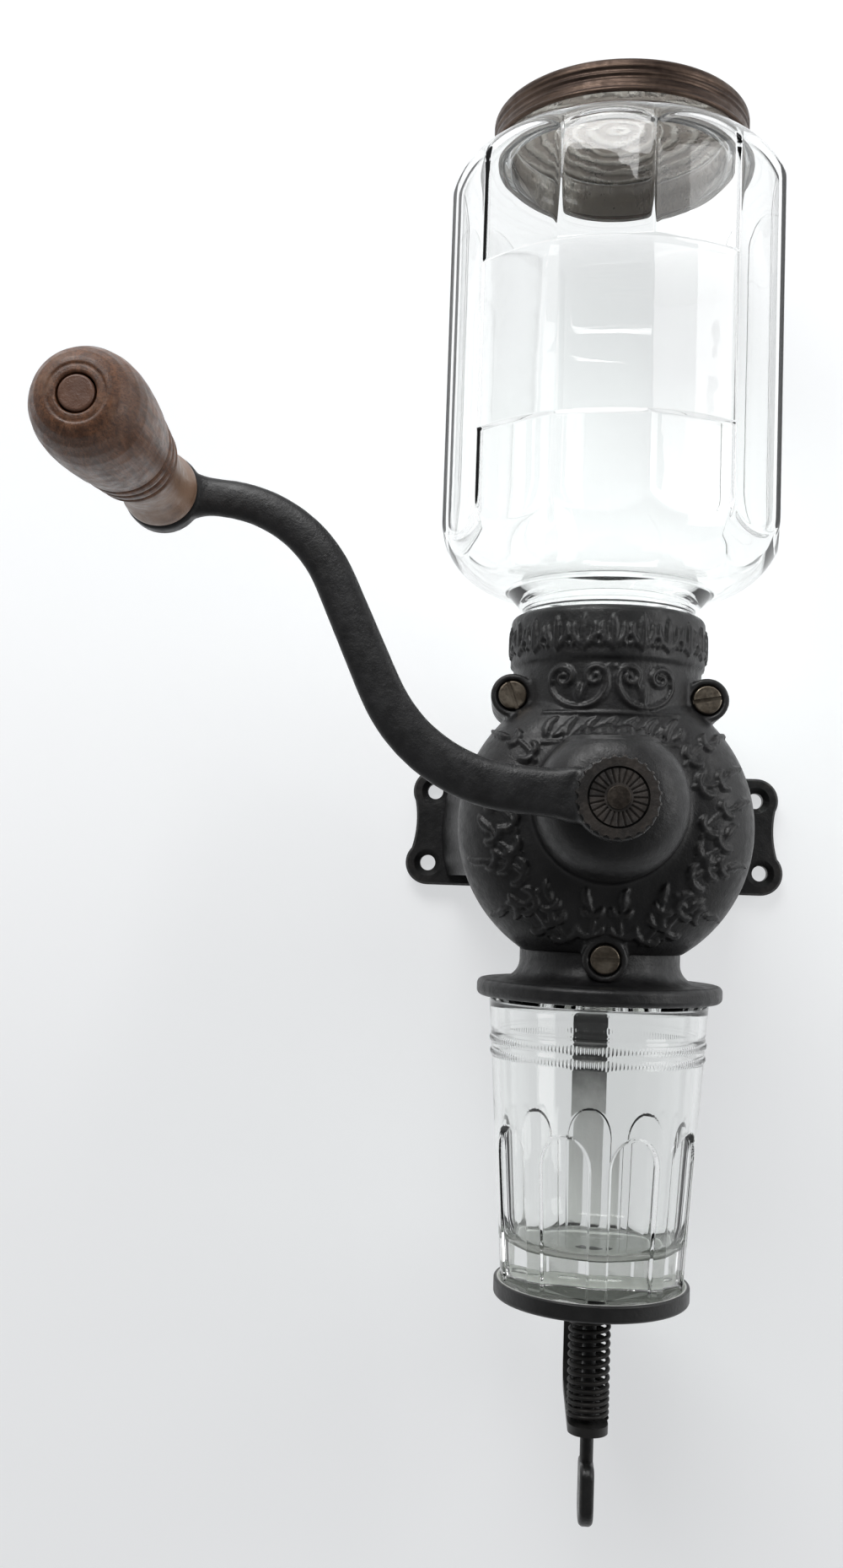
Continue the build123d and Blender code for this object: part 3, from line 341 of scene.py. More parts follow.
def lid_outer_paint():
    """Tin gone brown, with faint bands round the skirt."""
    paint = Paint("browned_tin", Metallic=0.85)
    bands = paint.noise(0.9, 4, 0.6, stretch=(0.05, 0.05, 1.0))
    colour = paint.blend(paint.ramp(bands, 0.35, 0.65), (0.045, 0.030, 0.024), (0.12, 0.082, 0.062))
    stains = paint.ramp(paint.noise(0.18, 6, 0.7), 0.45, 0.65, 0, 0.6)
    paint.colour(paint.blend(stains, colour, (0.085, 0.058, 0.046)))
    paint.rough(paint.ramp(paint.noise(0.4, 4, 0.6), 0.3, 0.7, 0.34, 0.55))
    paint.bump(paint.noise(1.5, 4, 0.6, stretch=(0.3, 0.3, 1.0)), 0.08)
    return paint.material


def lid_inner_paint():
    """Dull tin with marks that run round the middle."""
    paint = Paint("dull_tin", Metallic=0.7)
    wobble = paint.sums("MULTIPLY", paint.noise(0.06, 4, 0.6), 9.0)
    reach = paint.sums("ADD", paint.reach(), wobble)
    waves = paint.sums("SINE", paint.sums("MULTIPLY", reach, 0.95))
    marks = paint.ramp(waves, -0.7, 0.9)
    clouds = paint.ramp(paint.noise(0.11, 6, 0.7), 0.35, 0.65)
    colour = paint.blend(marks, (0.36, 0.32, 0.29), (0.72, 0.69, 0.64))
    colour = paint.blend(paint.sums("MULTIPLY", clouds, 0.5), colour, (0.42, 0.36, 0.30))
    paint.colour(colour)
    paint.rough(paint.ramp(clouds, 0, 1, 0.24, 0.42))
    paint.bump(paint.sums("ADD", marks, paint.noise(0.3, 4, 0.6)), 0.6)
    return paint.material


def bracket_paint():
    """Black strap, painted pale grey behind the cup as painted light that stands in for the light showing
    through the cup's glass.
    """
    paint = Paint("strap_painted_light")
    clouds = paint.noise(0.2, 5, 0.6)
    black = paint.blend(clouds, (0.006, 0.006, 0.006), (0.016, 0.015, 0.014))
    streaks = paint.noise(0.5, 5, 0.6, stretch=(1, 1, 0.2))
    # Painted light: the pale grey behind the cup stands in for the light seen through the cup's glass, not
    # for the strap's finish.
    pale = paint.blend(streaks, (0.76, 0.76, 0.75), (0.90, 0.90, 0.89))
    height = paint.sums("ADD", paint.height(), paint.sums("MULTIPLY", paint.noise(0.08, 4, 0.6), 24))
    low = paint.ramp(height, -138, -130)
    high = paint.ramp(height, -92, -62, 1, 0)
    painted_light_zone = paint.sums("MULTIPLY", low, high)
    paint.colour(paint.blend(painted_light_zone, black, pale))
    paint.rough(paint.ramp(clouds, 0.3, 0.7, 0.36, 0.5))
    paint.bump(paint.noise(0.8, 4, 0.6), 0.1)
    return paint.material


def tray_paint():
    """Black enamel outside; inside, under the cup, it is painted pale grey as painted light that stands in
    for the light showing through the cup's glass foot.
    """
    paint = Paint("tray_enamel")
    clouds = paint.noise(0.2, 5, 0.6)
    black = paint.blend(clouds, (0.006, 0.006, 0.006), (0.015, 0.015, 0.015))
    chips = paint.ramp(paint.noise(0.16, 6, 0.7, 0.3, move=(5, 2, 8)), 0.66, 0.70, 0, 0.8)
    black = paint.blend(chips, black, (0.22, 0.20, 0.17))
    # Painted light: pale grey inside the tray under the cup, standing in for the light seen through the
    # cup's glass foot.
    pale = paint.blend(paint.noise(0.3, 5, 0.6), (0.46, 0.46, 0.44), (0.66, 0.66, 0.64))
    above = paint.ramp(paint.height(), TRAY_FLOOR_Z - 0.6, TRAY_FLOOR_Z - 0.1)
    within = paint.ramp(paint.reach(), TRAY_BORE_R, TRAY_BORE_R + 0.4, 1, 0)
    paint.colour(paint.blend(paint.sums("MULTIPLY", above, within), black, pale))
    paint.rough(paint.ramp(clouds, 0.3, 0.7, 0.34, 0.46))
    paint.bump(paint.noise(0.8, 4, 0.6), 0.1)
    return paint.material


black_iron = iron_paint("black_iron", (0.006, 0.006, 0.0065), (0.014, 0.0135, 0.014), 0.42)
arm_iron = iron_paint("arm_iron", (0.008, 0.008, 0.0085), (0.017, 0.017, 0.018), 0.40, 0.2)
nut_iron = iron_paint("nut_iron", (0.014, 0.012, 0.011), (0.032, 0.026, 0.022), 0.40, 0.6)
tray_black = iron_paint("tray_black", (0.006, 0.006, 0.006), (0.013, 0.013, 0.013), 0.36, 0.25)
screw_steel = steel_paint("screw_steel", (0.120, 0.098, 0.075), (0.26, 0.225, 0.18), 0.30)
spring_steel = steel_paint("spring_steel", (0.010, 0.0095, 0.009), (0.024, 0.022, 0.020), 0.42, 0.4)
bare_steel = steel_paint("bare_steel", (0.22, 0.21, 0.20), (0.48, 0.47, 0.45), 0.28)
shaft_steel = steel_paint("shaft_steel", (0.050, 0.042, 0.036), (0.10, 0.085, 0.072), 0.34)
bracket_steel = bracket_paint()
brown_steel = iron_paint("browned_steel", (0.105, 0.048, 0.030), (0.175, 0.090, 0.058), 0.36, 0.2)
tray_enamel = tray_paint()
jar_glass = glass_paint("jar_glass", (0.985, 0.995, 0.988))
cup_glass = glass_paint("cup_glass", (0.972, 0.988, 0.976))
knob_wood = wood_paint()
lid_outer = lid_outer_paint()
lid_inner = lid_inner_paint()

NODE_MATERIALS = {
    "rear_casing": black_iron,
    "casing_screws": screw_steel,
    "burr_ring": bare_steel,
    "burr_ring_screws": bare_steel,
    "rotating_burr": bare_steel,
    "burr_pin": bare_steel,
    "grinding_shaft": shaft_steel,
    "spring_washer": bare_steel,
    "burr_spring": bare_steel,
    "adjusting_nut": nut_iron,
    "nut_lock_disc": nut_iron,
    "knob_spindle": brown_steel,
    "knob_washer": screw_steel,
    "cup_tray": tray_enamel,
    "pull_stem": tray_black,
    "tray_spring": spring_steel,
    "cup_bracket": bracket_steel,
    "bracket_screws": screw_steel,
}
for name, material in NODE_MATERIALS.items():
    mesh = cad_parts[name].data
    mesh.materials.clear()
    mesh.materials.append(material)


# Front casing with its cast relief

CASING_VOXEL = 0.6
RELIEF = 1.05
LEAF_SWELL, LEAF_LEAST = 1.9, 0.15
LEAF_VEIN, LEAF_VEIN_HALF = 0.5, 0.5
STROKE_TAPER = 0.35
BAND_R, BAND_LEAF_ANGLE = 31.0, 16.5
DRUM_Z = -1.0
LUG_SPOTS = ((-30.0, 38.8), (30.0, 38.8), (0.0, -41.5))

# Walls of the room in the drum and of the throat above it, which stay smooth

ROOM_R, ROOM_FRONT_DEPTH, ROOM_RIM_DEPTH = 42.3, -26.5, -13
THROAT_R, THROAT_TOP_Z, RIM_TOP_Z = 29.2, 45, 36

# Spans over which the relief fades out, from none to full

LUG_FADE = (6.6, 8.0)
BOSS_FADE = (21.5, 24.0)
PANEL_FADE_Z = (20, 24)
NECK_FADE_Z = (-46, -42)
BAND_FADE_DEPTH = (0.4, 2.5)
RELIEF_TOP_Z = 48.6
BAND_LOW_Z, BAND_HIGH_Z, BAND_SLACK = 49.8, 64.5, 0.6
FACING, FRONT_DEPTH = 0.3, -1.5

# Foot of the boss, where the casting's corner is eased most

BOSS_FOOT_INNER, BOSS_FOOT_OUTER = (17, 20), (29, 33)
BOSS_FOOT_DEPTH, BOSS_FOOT_TOP_Z = (22, 25), (33, 37)
LUG_EASE = (7.2, 9.0)
BOSS_EASE, BOSS_EASE_ROUNDS = 0.7, 45


def ridge(x, z, points, width, height, shape="even"):
    """Rounded ridge along a line of points; a leaf swells near its base and ends in a point."""
    line = np.asarray(points, float)
    lengths = np.linalg.norm(np.diff(line, axis=0), axis=1)
    total = lengths.sum()
    near = np.hypot(x - line[:, 0].mean(), z - line[:, 1].mean()) < total / 2 + width + 1
    best = np.zeros_like(x)
    px, pz = x[near], z[near]
    found = np.zeros_like(px)
    done = 0.0
    for (ax, az), (bx, bz), length in zip(line, line[1:], lengths):
        t = np.clip(((px - ax) * (bx - ax) + (pz - az) * (bz - az)) / length ** 2, 0, 1)
        away = np.hypot(px - ax - t * (bx - ax), pz - az - t * (bz - az))
        share = (done + t * length) / total
        if shape == "leaf":
            swell = np.sqrt(np.maximum(share, 0.03)) * np.maximum(1 - share, 0) ** 0.75
            half = width * LEAF_SWELL * swell + LEAF_LEAST
        else:
            half = width * (1 - STROKE_TAPER * share)
        rise = RELIEF * height * np.sqrt(np.clip(1 - (away / half) ** 2, 0, 1))
        if shape == "leaf":
            vein = np.clip(1 - away / LEAF_VEIN_HALF, 0, 1)
            rise -= LEAF_VEIN * height * vein * (rise > 0)
        found = np.maximum(found, rise)
        done += length
    best[near] = found
    return best


def spiral(centre, radius, turns, start, way, count=36):
    """Points of a spiral that winds in from its radius at the start angle."""
    out = []
    for share in np.linspace(0, 1, count):
        angle = radians(start) + way * 2 * pi * turns * share
        reach = radius * (1 - 0.8 * share)
        out.append((centre[0] + reach * cos(angle), centre[1] + reach * sin(angle)))
    return out


def bent(start, end, bow, count=9):
    """Points of a bowed line between two points, the bow to its left."""
    start, end = np.asarray(start, float), np.asarray(end, float)
    across = np.array([-(end - start)[1], (end - start)[0]])
    shares = np.linspace(0, 1, count)[:, None]
    return start + (end - start) * shares + across * bow * np.sin(pi * shares)


def spray(base, tip, leaves, reach, bow=0.12):
    """A bowed stem with pairs of curling leaves and one leaf at its tip."""
    stem = bent(base, tip, bow, 15)
    along = (np.asarray(tip, float) - base) / np.hypot(tip[0] - base[0], tip[1] - base[1])
    across = np.array([-along[1], along[0]])
    strokes = [(stem, 0.75, 0.7, "even")]
    for index in range(leaves):
        share = (index + 0.35) / leaves
        root = stem[int(share * 14)]
        size = reach * (1.0 - 0.4 * share)
        for side in (-1, 1):
            end = root + along * size * 0.62 + across * side * size * 0.8
            strokes.append((bent(root, end, side * 0.24), 1.15, 1.15, "leaf"))
    strokes.append((bent(stem[12], stem[14] + along * reach * 0.8, 0.1), 1.25, 1.2, "leaf"))
    return strokes


def scroll_strokes():
    """Two C-scrolls above the panel, each a bowl between two spirals."""
    strokes = []
    for side in (-1, 1):
        inner = [(side * px, pz) for px, pz in spiral((5.3, 43.6), 3.8, 1.3, 200, -1)]
        outer = [(side * px, pz) for px, pz in spiral((14.5, 43.4), 3.8, 1.3, -20, 1)]
        bowl = [(side * px, pz) for px, pz in arc((9.9, 42.9), 8.6, -172, -8, 24)]
        tail = [(side * px, pz) for px, pz in bent((9.9, 34.3), (1.2, 46.8), -0.14, 12)]
        strokes += [(inner, 1.0, 1.0, "even"), (outer, 1.0, 1.0, "even"), (bowl, 1.05, 0.95, "even")]
        strokes += [(tail, 0.8, 0.7, "even")]
        strokes += [(bent((side * 9.9, 36.2), (side * 9.9, 41.5), 0.1), 1.3, 0.9, "leaf")]
    return strokes


PANEL_HALF, PANEL_EDGES_Z = 20.5, (23.2, 32.6)
PANEL_LEAVES, PANEL_LEAF_STEP = 7, 6.0


def panel_strokes():
    """Plain moulded panel with a row of leaves in place of words."""
    strokes = []
    for z in PANEL_EDGES_Z:
        strokes.append(([(-PANEL_HALF, z), (PANEL_HALF, z)], 0.6, 0.6, "even"))
    for index in range(PANEL_LEAVES):
        x = PANEL_LEAF_STEP * (index - (PANEL_LEAVES - 1) / 2)
        strokes.append((bent((x - 1.6, 25.0), (x + 2.0, 31.2), 0.16), 1.15, 1.0, "leaf"))
        strokes.append((bent((x + 0.8, 25.2), (x + 3.4, 28.6), -0.2), 0.9, 0.9, "leaf"))
    return strokes


def foliage_strokes():
    """Sprays of leaves on the drum, on both sides of the boss."""
    strokes = []
    for side in (-1, 1):
        for base, tip, leaves, reach, bow in (
            ((5.5, -36.5), (6.0, -24.0), 2, 5.2, 0.15),
            ((10.5, -36.5), (16.5, -22.0), 3, 5.2, -0.14),
            ((17.0, -34.5), (26.5, -25.5), 2, 4.8, 0.16),
            ((20.5, -21.5), (31.5, -27.5), 2, 4.6, -0.16),
            ((24.0, -17.5), (38.0, -13.5), 3, 5.2, 0.15),
            ((26.0, -10.5), (36.0, -2.0), 2, 5.0, -0.15),
            ((27.5, -4.0), (40.0, 5.5), 2, 4.6, 0.15),
            ((25.0, 11.0), (36.5, 16.0), 2, 5.2, -0.14),
            ((22.5, 17.5), (33.0, 25.5), 2, 4.6, 0.14),
        ):
            root, end = (side * base[0], base[1]), (side * tip[0], tip[1])
            strokes += spray(root, end, leaves, reach, side * bow)
    return strokes


def band_relief(angle, z):
    """Frieze of upright leaves round the collar, in place of words."""
    pitch = radians(BAND_LEAF_ANGLE)
    s = (np.mod(angle + pitch / 2, pitch) - pitch / 2) * BAND_R
    rise = np.zeros_like(s)
    strokes = [
        ([(0, 52.4), (0, 62.4)], 1.5, 1.0, "leaf"),
        (bent((0, 52.6), (3.4, 60.2), -0.18), 1.15, 0.95, "leaf"),
        (bent((0, 52.6), (-3.4, 60.2), 0.18), 1.15, 0.95, "leaf"),
        (arc((-4.45, 54.8), 1.5, -60, 240, 14), 0.75, 0.8, "even"),
        (arc((4.45, 54.8), 1.5, -60, 240, 14), 0.75, 0.8, "even"),
    ]
    for points, width, height, shape in strokes:
        rise = np.maximum(rise, ridge(s, z, points, width, height, shape))
    return rise


def casing_relief(points, normals):
    """Rise of the relief, in millimetres, on the outer skin that faces the user."""
    x, depth, z = points[:, 0], points[:, 1] - AXIS_Y, points[:, 2]
    reach_drum = np.hypot(x, z - DRUM_Z)
    reach_shaft = np.hypot(x, z - SHAFT_Z)
    outward = (normals[:, 1] < FACING) & (depth < FRONT_DEPTH)
    inside_drum = (reach_drum < ROOM_R) & (depth > ROOM_FRONT_DEPTH)
    inside_drum &= (z < THROAT_TOP_Z) & (np.hypot(x, depth) < THROAT_R)
    inside_drum |= (reach_drum < ROOM_R) & (depth > ROOM_RIM_DEPTH) & (z < RIM_TOP_Z)
    fade = np.ones(len(points))
    for lug_x, lug_z in LUG_SPOTS:
        fade *= soft_step(np.hypot(x - lug_x, z - lug_z), *LUG_FADE)
    fade *= np.maximum(soft_step(reach_shaft, *BOSS_FADE), soft_step(z, *PANEL_FADE_Z))
    fade *= soft_step(z, *NECK_FADE_Z)
    front = outward & ~inside_drum & (z < RELIEF_TOP_Z)
    strokes = scroll_strokes() + panel_strokes() + foliage_strokes()
    rise = np.zeros(len(points))
    fx, fz = x[front], z[front]
    best = np.zeros(front.sum())
    for line, width, height, shape in strokes:
        best = np.maximum(best, ridge(fx, fz, line, width, height, shape))
    rise[front] = best * fade[front]
    band = (z > BAND_LOW_Z) & (z < BAND_HIGH_Z)
    band &= (np.hypot(x, depth) > BAND_R - BAND_SLACK) & (depth < -BAND_FADE_DEPTH[0])
    angle = np.arctan2(x[band], -depth[band])
    rise[band] = band_relief(angle, z[band]) * soft_step(-depth[band], *BAND_FADE_DEPTH)
    return rise


def remeshed(node, voxel, name):
    """Copy of a CAD node as one even skin, its creases eased as in a casting."""
    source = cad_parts[node]
    copy = bpy.data.objects.new(name + "_copy", source.data.copy())
    bpy.context.scene.collection.objects.link(copy)
    remesh = copy.modifiers.new("even", "REMESH")
    remesh.mode = "VOXEL"
    remesh.voxel_size = voxel * MM
    smooth = copy.modifiers.new("ease", "SMOOTH")
    smooth.factor = 0.5
    smooth.iterations = 4
    evaluated = copy.evaluated_get(bpy.context.evaluated_depsgraph_get())
    mesh = bpy.data.meshes.new_from_object(evaluated)
    mesh.name = name
    bpy.data.objects.remove(copy)
    made = bpy.data.objects.new(name, mesh)
    bpy.context.scene.collection.objects.link(made)
    return made


def coordinates(mesh):
    """Points of a mesh, in millimetres."""
    flat = np.zeros(len(mesh.vertices) * 3)
    mesh.vertices.foreach_get("co", flat)
    return flat.reshape(-1, 3) / MM


def vertex_normals(mesh):
    flat = np.zeros(len(mesh.vertices) * 3, np.float32)
    mesh.vertex_normals.foreach_get("vector", flat)
    return flat.reshape(-1, 3).astype(float)


def eased(mesh, points, share, rounds):
    """Points drawn to the middle of their neighbours, each by its share."""
    pairs = np.zeros(len(mesh.edges) * 2, np.int64)
    mesh.edges.foreach_get("vertices", pairs)
    first, second = pairs[0::2], pairs[1::2]
    near = (share[first] > 0) | (share[second] > 0)
    first, second = first[near], second[near]
    count = np.bincount(first, minlength=len(points)) + np.bincount(second, minlength=len(points))
    count = np.maximum(count, 1)
    for _ in range(rounds):
        middle = np.empty_like(points)
        for axis in range(3):
            total = np.bincount(first, points[second, axis], len(points))
            total += np.bincount(second, points[first, axis], len(points))
            middle[:, axis] = total / count
        points = points + (middle - points) * share[:, None]
    return points


def blend_share(points):
    """How far the casting's corners are eased: most round the foot of the boss."""
    x, depth, z = points[:, 0], points[:, 1] - AXIS_Y, points[:, 2]
    reach_shaft = np.hypot(x, z - SHAFT_Z)
    foot = soft_step(reach_shaft, *BOSS_FOOT_INNER) * (1 - soft_step(reach_shaft, *BOSS_FOOT_OUTER))
    foot *= soft_step(-depth, *BOSS_FOOT_DEPTH) * (1 - soft_step(z, *BOSS_FOOT_TOP_Z))
    for lug_x, lug_z in LUG_SPOTS:
        foot *= soft_step(np.hypot(x - lug_x, z - lug_z), *LUG_EASE)
    return BOSS_EASE * foot


def dressed(made, points, material):
    """Gives a remeshed casting its final points, smooth faces and its material."""
    mesh = made.data
    mesh.vertices.foreach_set("co", (points * MM).ravel())
    mesh.polygons.foreach_set("use_smooth", np.ones(len(mesh.polygons), bool))
    mesh.materials.clear()
    mesh.materials.append(material)
    mesh.update()


def front_casing_skin():
    """The front casing with its corners eased and its relief standing on it."""
    made = remeshed("front_casing", CASING_VOXEL, "front_casing_cast")
    mesh = made.data
    points = coordinates(mesh)
    points = eased(mesh, points, blend_share(points), BOSS_EASE_ROUNDS)
    mesh.vertices.foreach_set("co", (points * MM).ravel())
    mesh.update()
    normals = vertex_normals(mesh)
    points += normals * casing_relief(points, normals)[:, None]
    dressed(made, points, black_iron)
    stands_for(made, "casing", "black_iron", "front_casing")


front_casing_skin()


# Crank arm, rounded as cast

KNOB_SPOT = (-132.0, 88.8)
ARM_VOXEL = 0.6
ARM_HUB_FADE, ARM_BOSS_FADE = (14.5, 19.0), (11.5, 14.5)
ARM_EASE, ARM_EASE_ROUNDS = 0.8, 70


def crank_arm_skin():
    """The arm with its corners eased to an oval between the hub and the boss at its end."""
    made = remeshed("crank_arm", ARM_VOXEL, "crank_arm_cast")
    points = coordinates(made.data)
    x, z = points[:, 0], points[:, 2]
    off_hub = soft_step(np.hypot(x, z - SHAFT_Z), *ARM_HUB_FADE)
    off_boss = soft_step(np.hypot(x - KNOB_SPOT[0], z - KNOB_SPOT[1]), *ARM_BOSS_FADE)
    points = eased(made.data, points, ARM_EASE * off_hub * off_boss, ARM_EASE_ROUNDS)
    dressed(made, points, arm_iron)
    stands_for(made, "crank", "black_iron", "crank_arm")


crank_arm_skin()


# Hopper jar

JAR_SIDES = 12
JAR_CORNER_R = 54.7
JAR_TURN = 7.7
JAR_ROUND_R = 55.2
NECK_R, NECK_BORE = 27.5, 25.2
MOUTH_R, MOUTH_BORE = 38.8, 35.6
LEDGE_Z, SHOULDER_Z, FOOT_Z, HEAD_Z = 52.0, 69.5, 99.0, 201.0
FOOT_ROUND, HEAD_ROUND = 25.0, 15.5
MOUTH_TOP_Z = 228.9
LABEL_R, LABEL_BOTTOM_Z, LABEL_TOP_Z = 55.0, 118.0, 170.0
LABEL_FIRST_CORNER = -142.3
LABEL_SIDES = 3
CREASE_RISE = 0.13
GLASS_WALL = 2.2
NECK_ROUND, NECK_ROUND_DROP = 2.5, 2.0
RIM_ROUND, RIM_CHAMFER = 1.2, 0.8
LABEL_LEDGE = 0.15
INNER_EDGE = 4.0
OUTER_STEP, INNER_STEP, SIDE_STEP, RIM_STEP = 0.7, 1.2, 1.5, 1.2
GLASS_FOOT = 2.4
SHARP = 0.35
CREASE_HALF, CORNER_HALF = 0.35, 0.8
JAR_COLUMNS = JAR_SIDES * 32


def jar_angles():
    """Column angles, closer together at the corners."""
    crowding = 0.55
    shares = np.arange(JAR_COLUMNS) / JAR_COLUMNS * JAR_SIDES
    inside = shares - crowding * np.sin(2 * pi * shares) / (2 * pi)
    return radians(JAR_TURN) + inside * 2 * pi / JAR_SIDES


def jar_profile(round_r, foot_round, head_round, neck_r, mouth_r, shoulder, step):
    """Radius and height of the jar as if it were round, from the ledge to the mouth."""
    foot_x, head_x = round_r - foot_round, round_r - head_round
    neck_top = shoulder - NECK_ROUND_DROP
    corners = [(neck_r, LEDGE_Z), (neck_r, neck_top)]
    corners += arc((neck_r + NECK_ROUND, neck_top), NECK_ROUND, 180, 118, 6)
    corners += arc((foot_x, FOOT_Z), foot_round, -84, 0, 40)
    corners += arc((head_x, HEAD_Z), head_round, 0, 84, 28)
    corners += [(mouth_r, HEAD_Z + head_round + 0.9)]
    return spaced(corners, step)


def twelve_sided(radius, angles, apothem, edge):
    """Radii of a round profile pressed flat on twelve sides, with raised creases if sharp."""
    step = 2 * pi / JAR_SIDES
    off = np.mod(angles - radians(JAR_TURN), step) - step / 2
    sides = np.broadcast_to(apothem / np.cos(off), (len(radius), len(angles)))
    skin = soft_min(radius[:, None], sides, edge)
    if edge > SHARP:
        return skin
    crease = np.exp(-(((radius[:, None] - sides) / CREASE_HALF) ** 2))
    from_corner = (step / 2 - np.abs(off)) * apothem
    past_flat = np.clip(radius[:, None] - apothem, 0, 1)
    corner = np.exp(-((from_corner / CORNER_HALF) ** 2))[None, :] * past_flat
    return skin + CREASE_RISE * np.maximum(crease, corner)


def label_patch(skin, height, angles):
    """Round patch that stands proud of three sides, with a crisp edge."""
    step = 2 * pi / JAR_SIDES
    across = np.mod(angles - radians(LABEL_FIRST_CORNER) + pi, 2 * pi) - pi
    within = (across > -0.001) & (across < LABEL_SIDES * step + 0.001)
    rows = (height > LABEL_BOTTOM_Z - 0.01) & (height < LABEL_TOP_Z + 0.01)
    patch = rows[:, None] & within[None, :]
    return np.where(patch, np.maximum(LABEL_R, skin), skin)


def with_rows(profile, heights):
    """The profile with extra rows at the given heights on its upright side."""
    lower = profile[profile[:, 1] <= FOOT_Z + 0.01]
    upper = profile[profile[:, 1] >= HEAD_Z - 0.01]
    even = np.arange(FOOT_Z + SIDE_STEP, HEAD_Z - 1, SIDE_STEP)
    side = np.unique(np.concatenate([even, heights]))
    radius = profile[:, 0].max()
    middle = np.stack([np.full(len(side), radius), side], axis=1)
    return np.concatenate([lower, middle, upper])


def hopper_jar_glass():
    """Glass jar with twelve sides, its raised patch and an inner side one wall further in."""
    angles = jar_angles()
    profile = jar_profile(JAR_ROUND_R, FOOT_ROUND, HEAD_ROUND, NECK_R, MOUTH_R, SHOULDER_Z, OUTER_STEP)
    edges = [LABEL_BOTTOM_Z - LABEL_LEDGE, LABEL_BOTTOM_Z, LABEL_TOP_Z, LABEL_TOP_Z + LABEL_LEDGE]
    profile = with_rows(profile, edges)
    rim_z = MOUTH_TOP_Z - RIM_ROUND
    rim = [(MOUTH_R, HEAD_Z + HEAD_ROUND + 2.2), (MOUTH_R, rim_z)]
    rim += arc((MOUTH_R - RIM_ROUND, rim_z), RIM_ROUND, 0, 90, 6)
    profile = np.concatenate([profile, spaced(rim, RIM_STEP)])
    apothem = JAR_CORNER_R * cos(pi / JAR_SIDES)
    skin = twelve_sided(profile[:, 0], angles, apothem, SHARP)
    skin = label_patch(skin, profile[:, 1], angles)
    inner = jar_profile(
        JAR_ROUND_R - GLASS_WALL,
        FOOT_ROUND - GLASS_WALL,
        HEAD_ROUND - GLASS_WALL / 2,
        NECK_BORE,
        MOUTH_BORE,
        SHOULDER_Z + GLASS_FOOT,
        INNER_STEP,
    )
    bore = [(MOUTH_BORE, rim_z), (MOUTH_BORE + RIM_CHAMFER, MOUTH_TOP_Z)]
    inner = np.concatenate([inner, bore])[::-1]
    inside = twelve_sided(inner[:, 0], angles, apothem - GLASS_WALL, INNER_EDGE)
    outer_points = rings(skin, profile[:, 1], angles)
    inner_points = rings(inside, inner[:, 1], angles)
    made = closed_shell("hopper_jar_glass", outer_points, inner_points, len(angles), [jar_glass])
    stands_for(made, "casing", "clear_glass", "hopper_jar")


hopper_jar_glass()


# Hopper lid

LID_OUTER_R, LID_TOP_Z, LID_SKIRT, LID_TIN = 41.7, 231.2, 11.0, 0.8
LID_CORNER, LID_INNER_CORNER, LID_INNER_DROP = 1.6, 1.4, 2.2
LID_STEP_DEPTH = 0.5
LID_BEADS, LID_BEAD_DEPTH, LID_BEAD_HALF, LID_BEAD_FLAT = (3.9, 6.0), 0.45, 0.9, 0.3
LID_ROLL = 0.8
LID_COLUMNS = 160


def lid_outer_profile():
    """Radius and height of the lid's outer side: flat top, two beads and a rolled edge."""
    low = LID_TOP_Z - LID_SKIRT
    step_z = LID_TOP_Z - LID_STEP_DEPTH
    outer = [(0.01, LID_TOP_Z), (LID_OUTER_R - 5.5, LID_TOP_Z), (LID_OUTER_R - 4.6, step_z)]
    outer += [(LID_OUTER_R - 3.4, step_z), (LID_OUTER_R - 2.4, LID_TOP_Z)]
    outer += arc((LID_OUTER_R - LID_CORNER, LID_TOP_Z - LID_CORNER), LID_CORNER, 90, 0, 9)
    for drop in LID_BEADS:
        middle = LID_TOP_Z - drop
        pressed = LID_OUTER_R - LID_BEAD_DEPTH
        outer += [(LID_OUTER_R, middle + LID_BEAD_HALF), (pressed, middle + LID_BEAD_FLAT)]
        outer += [(pressed, middle - LID_BEAD_FLAT), (LID_OUTER_R, middle - LID_BEAD_HALF)]
    outer += [(LID_OUTER_R, low + 1.7)]
    outer += arc((LID_OUTER_R, low + LID_ROLL), LID_ROLL, 80, -180, 14)
    return spaced(outer, 0.7)


def lid_inner_profile():
    """Radius and height of the lid's inner side, from its edge to the middle."""
    low = LID_TOP_Z - LID_SKIRT
    inner = [(LID_OUTER_R - LID_TIN, low + 1.2), (LID_OUTER_R - LID_TIN, LID_TOP_Z - LID_INNER_DROP)]
    corner = (LID_OUTER_R - LID_INNER_DROP, LID_TOP_Z - LID_INNER_DROP)
    inner += arc(corner, LID_INNER_CORNER, 0, 90, 7)
    inner += [(LID_OUTER_R - 5, LID_TOP_Z - 1.2)]
    inner += [(LID_OUTER_R - 7, LID_TOP_Z - LID_TIN), (0.01, LID_TOP_Z - LID_TIN)]
    return spaced(inner, 1.0)


def hopper_lid_tin():
    """Screw lid, brown outside and dull tin inside."""
    outer, inner = lid_outer_profile(), lid_inner_profile()
    angles = np.linspace(0, 2 * pi, LID_COLUMNS, endpoint=False)
    profile = np.concatenate([outer, inner])
    points = rings(np.repeat(profile[:, 0:1], LID_COLUMNS, axis=1), profile[:, 1], angles)
    faces = ring_faces(len(profile), LID_COLUMNS, flip=True)
    outside = (len(outer) - 1) * LID_COLUMNS
    slots = [0 if index < outside else 1 for index in range(len(faces))]
    made = new_object("hopper_lid_tin", points, faces, [lid_outer, lid_inner], slots)
    stands_for(made, "lid", "tin_lid", "hopper_lid")


hopper_lid_tin()


# Catch cup

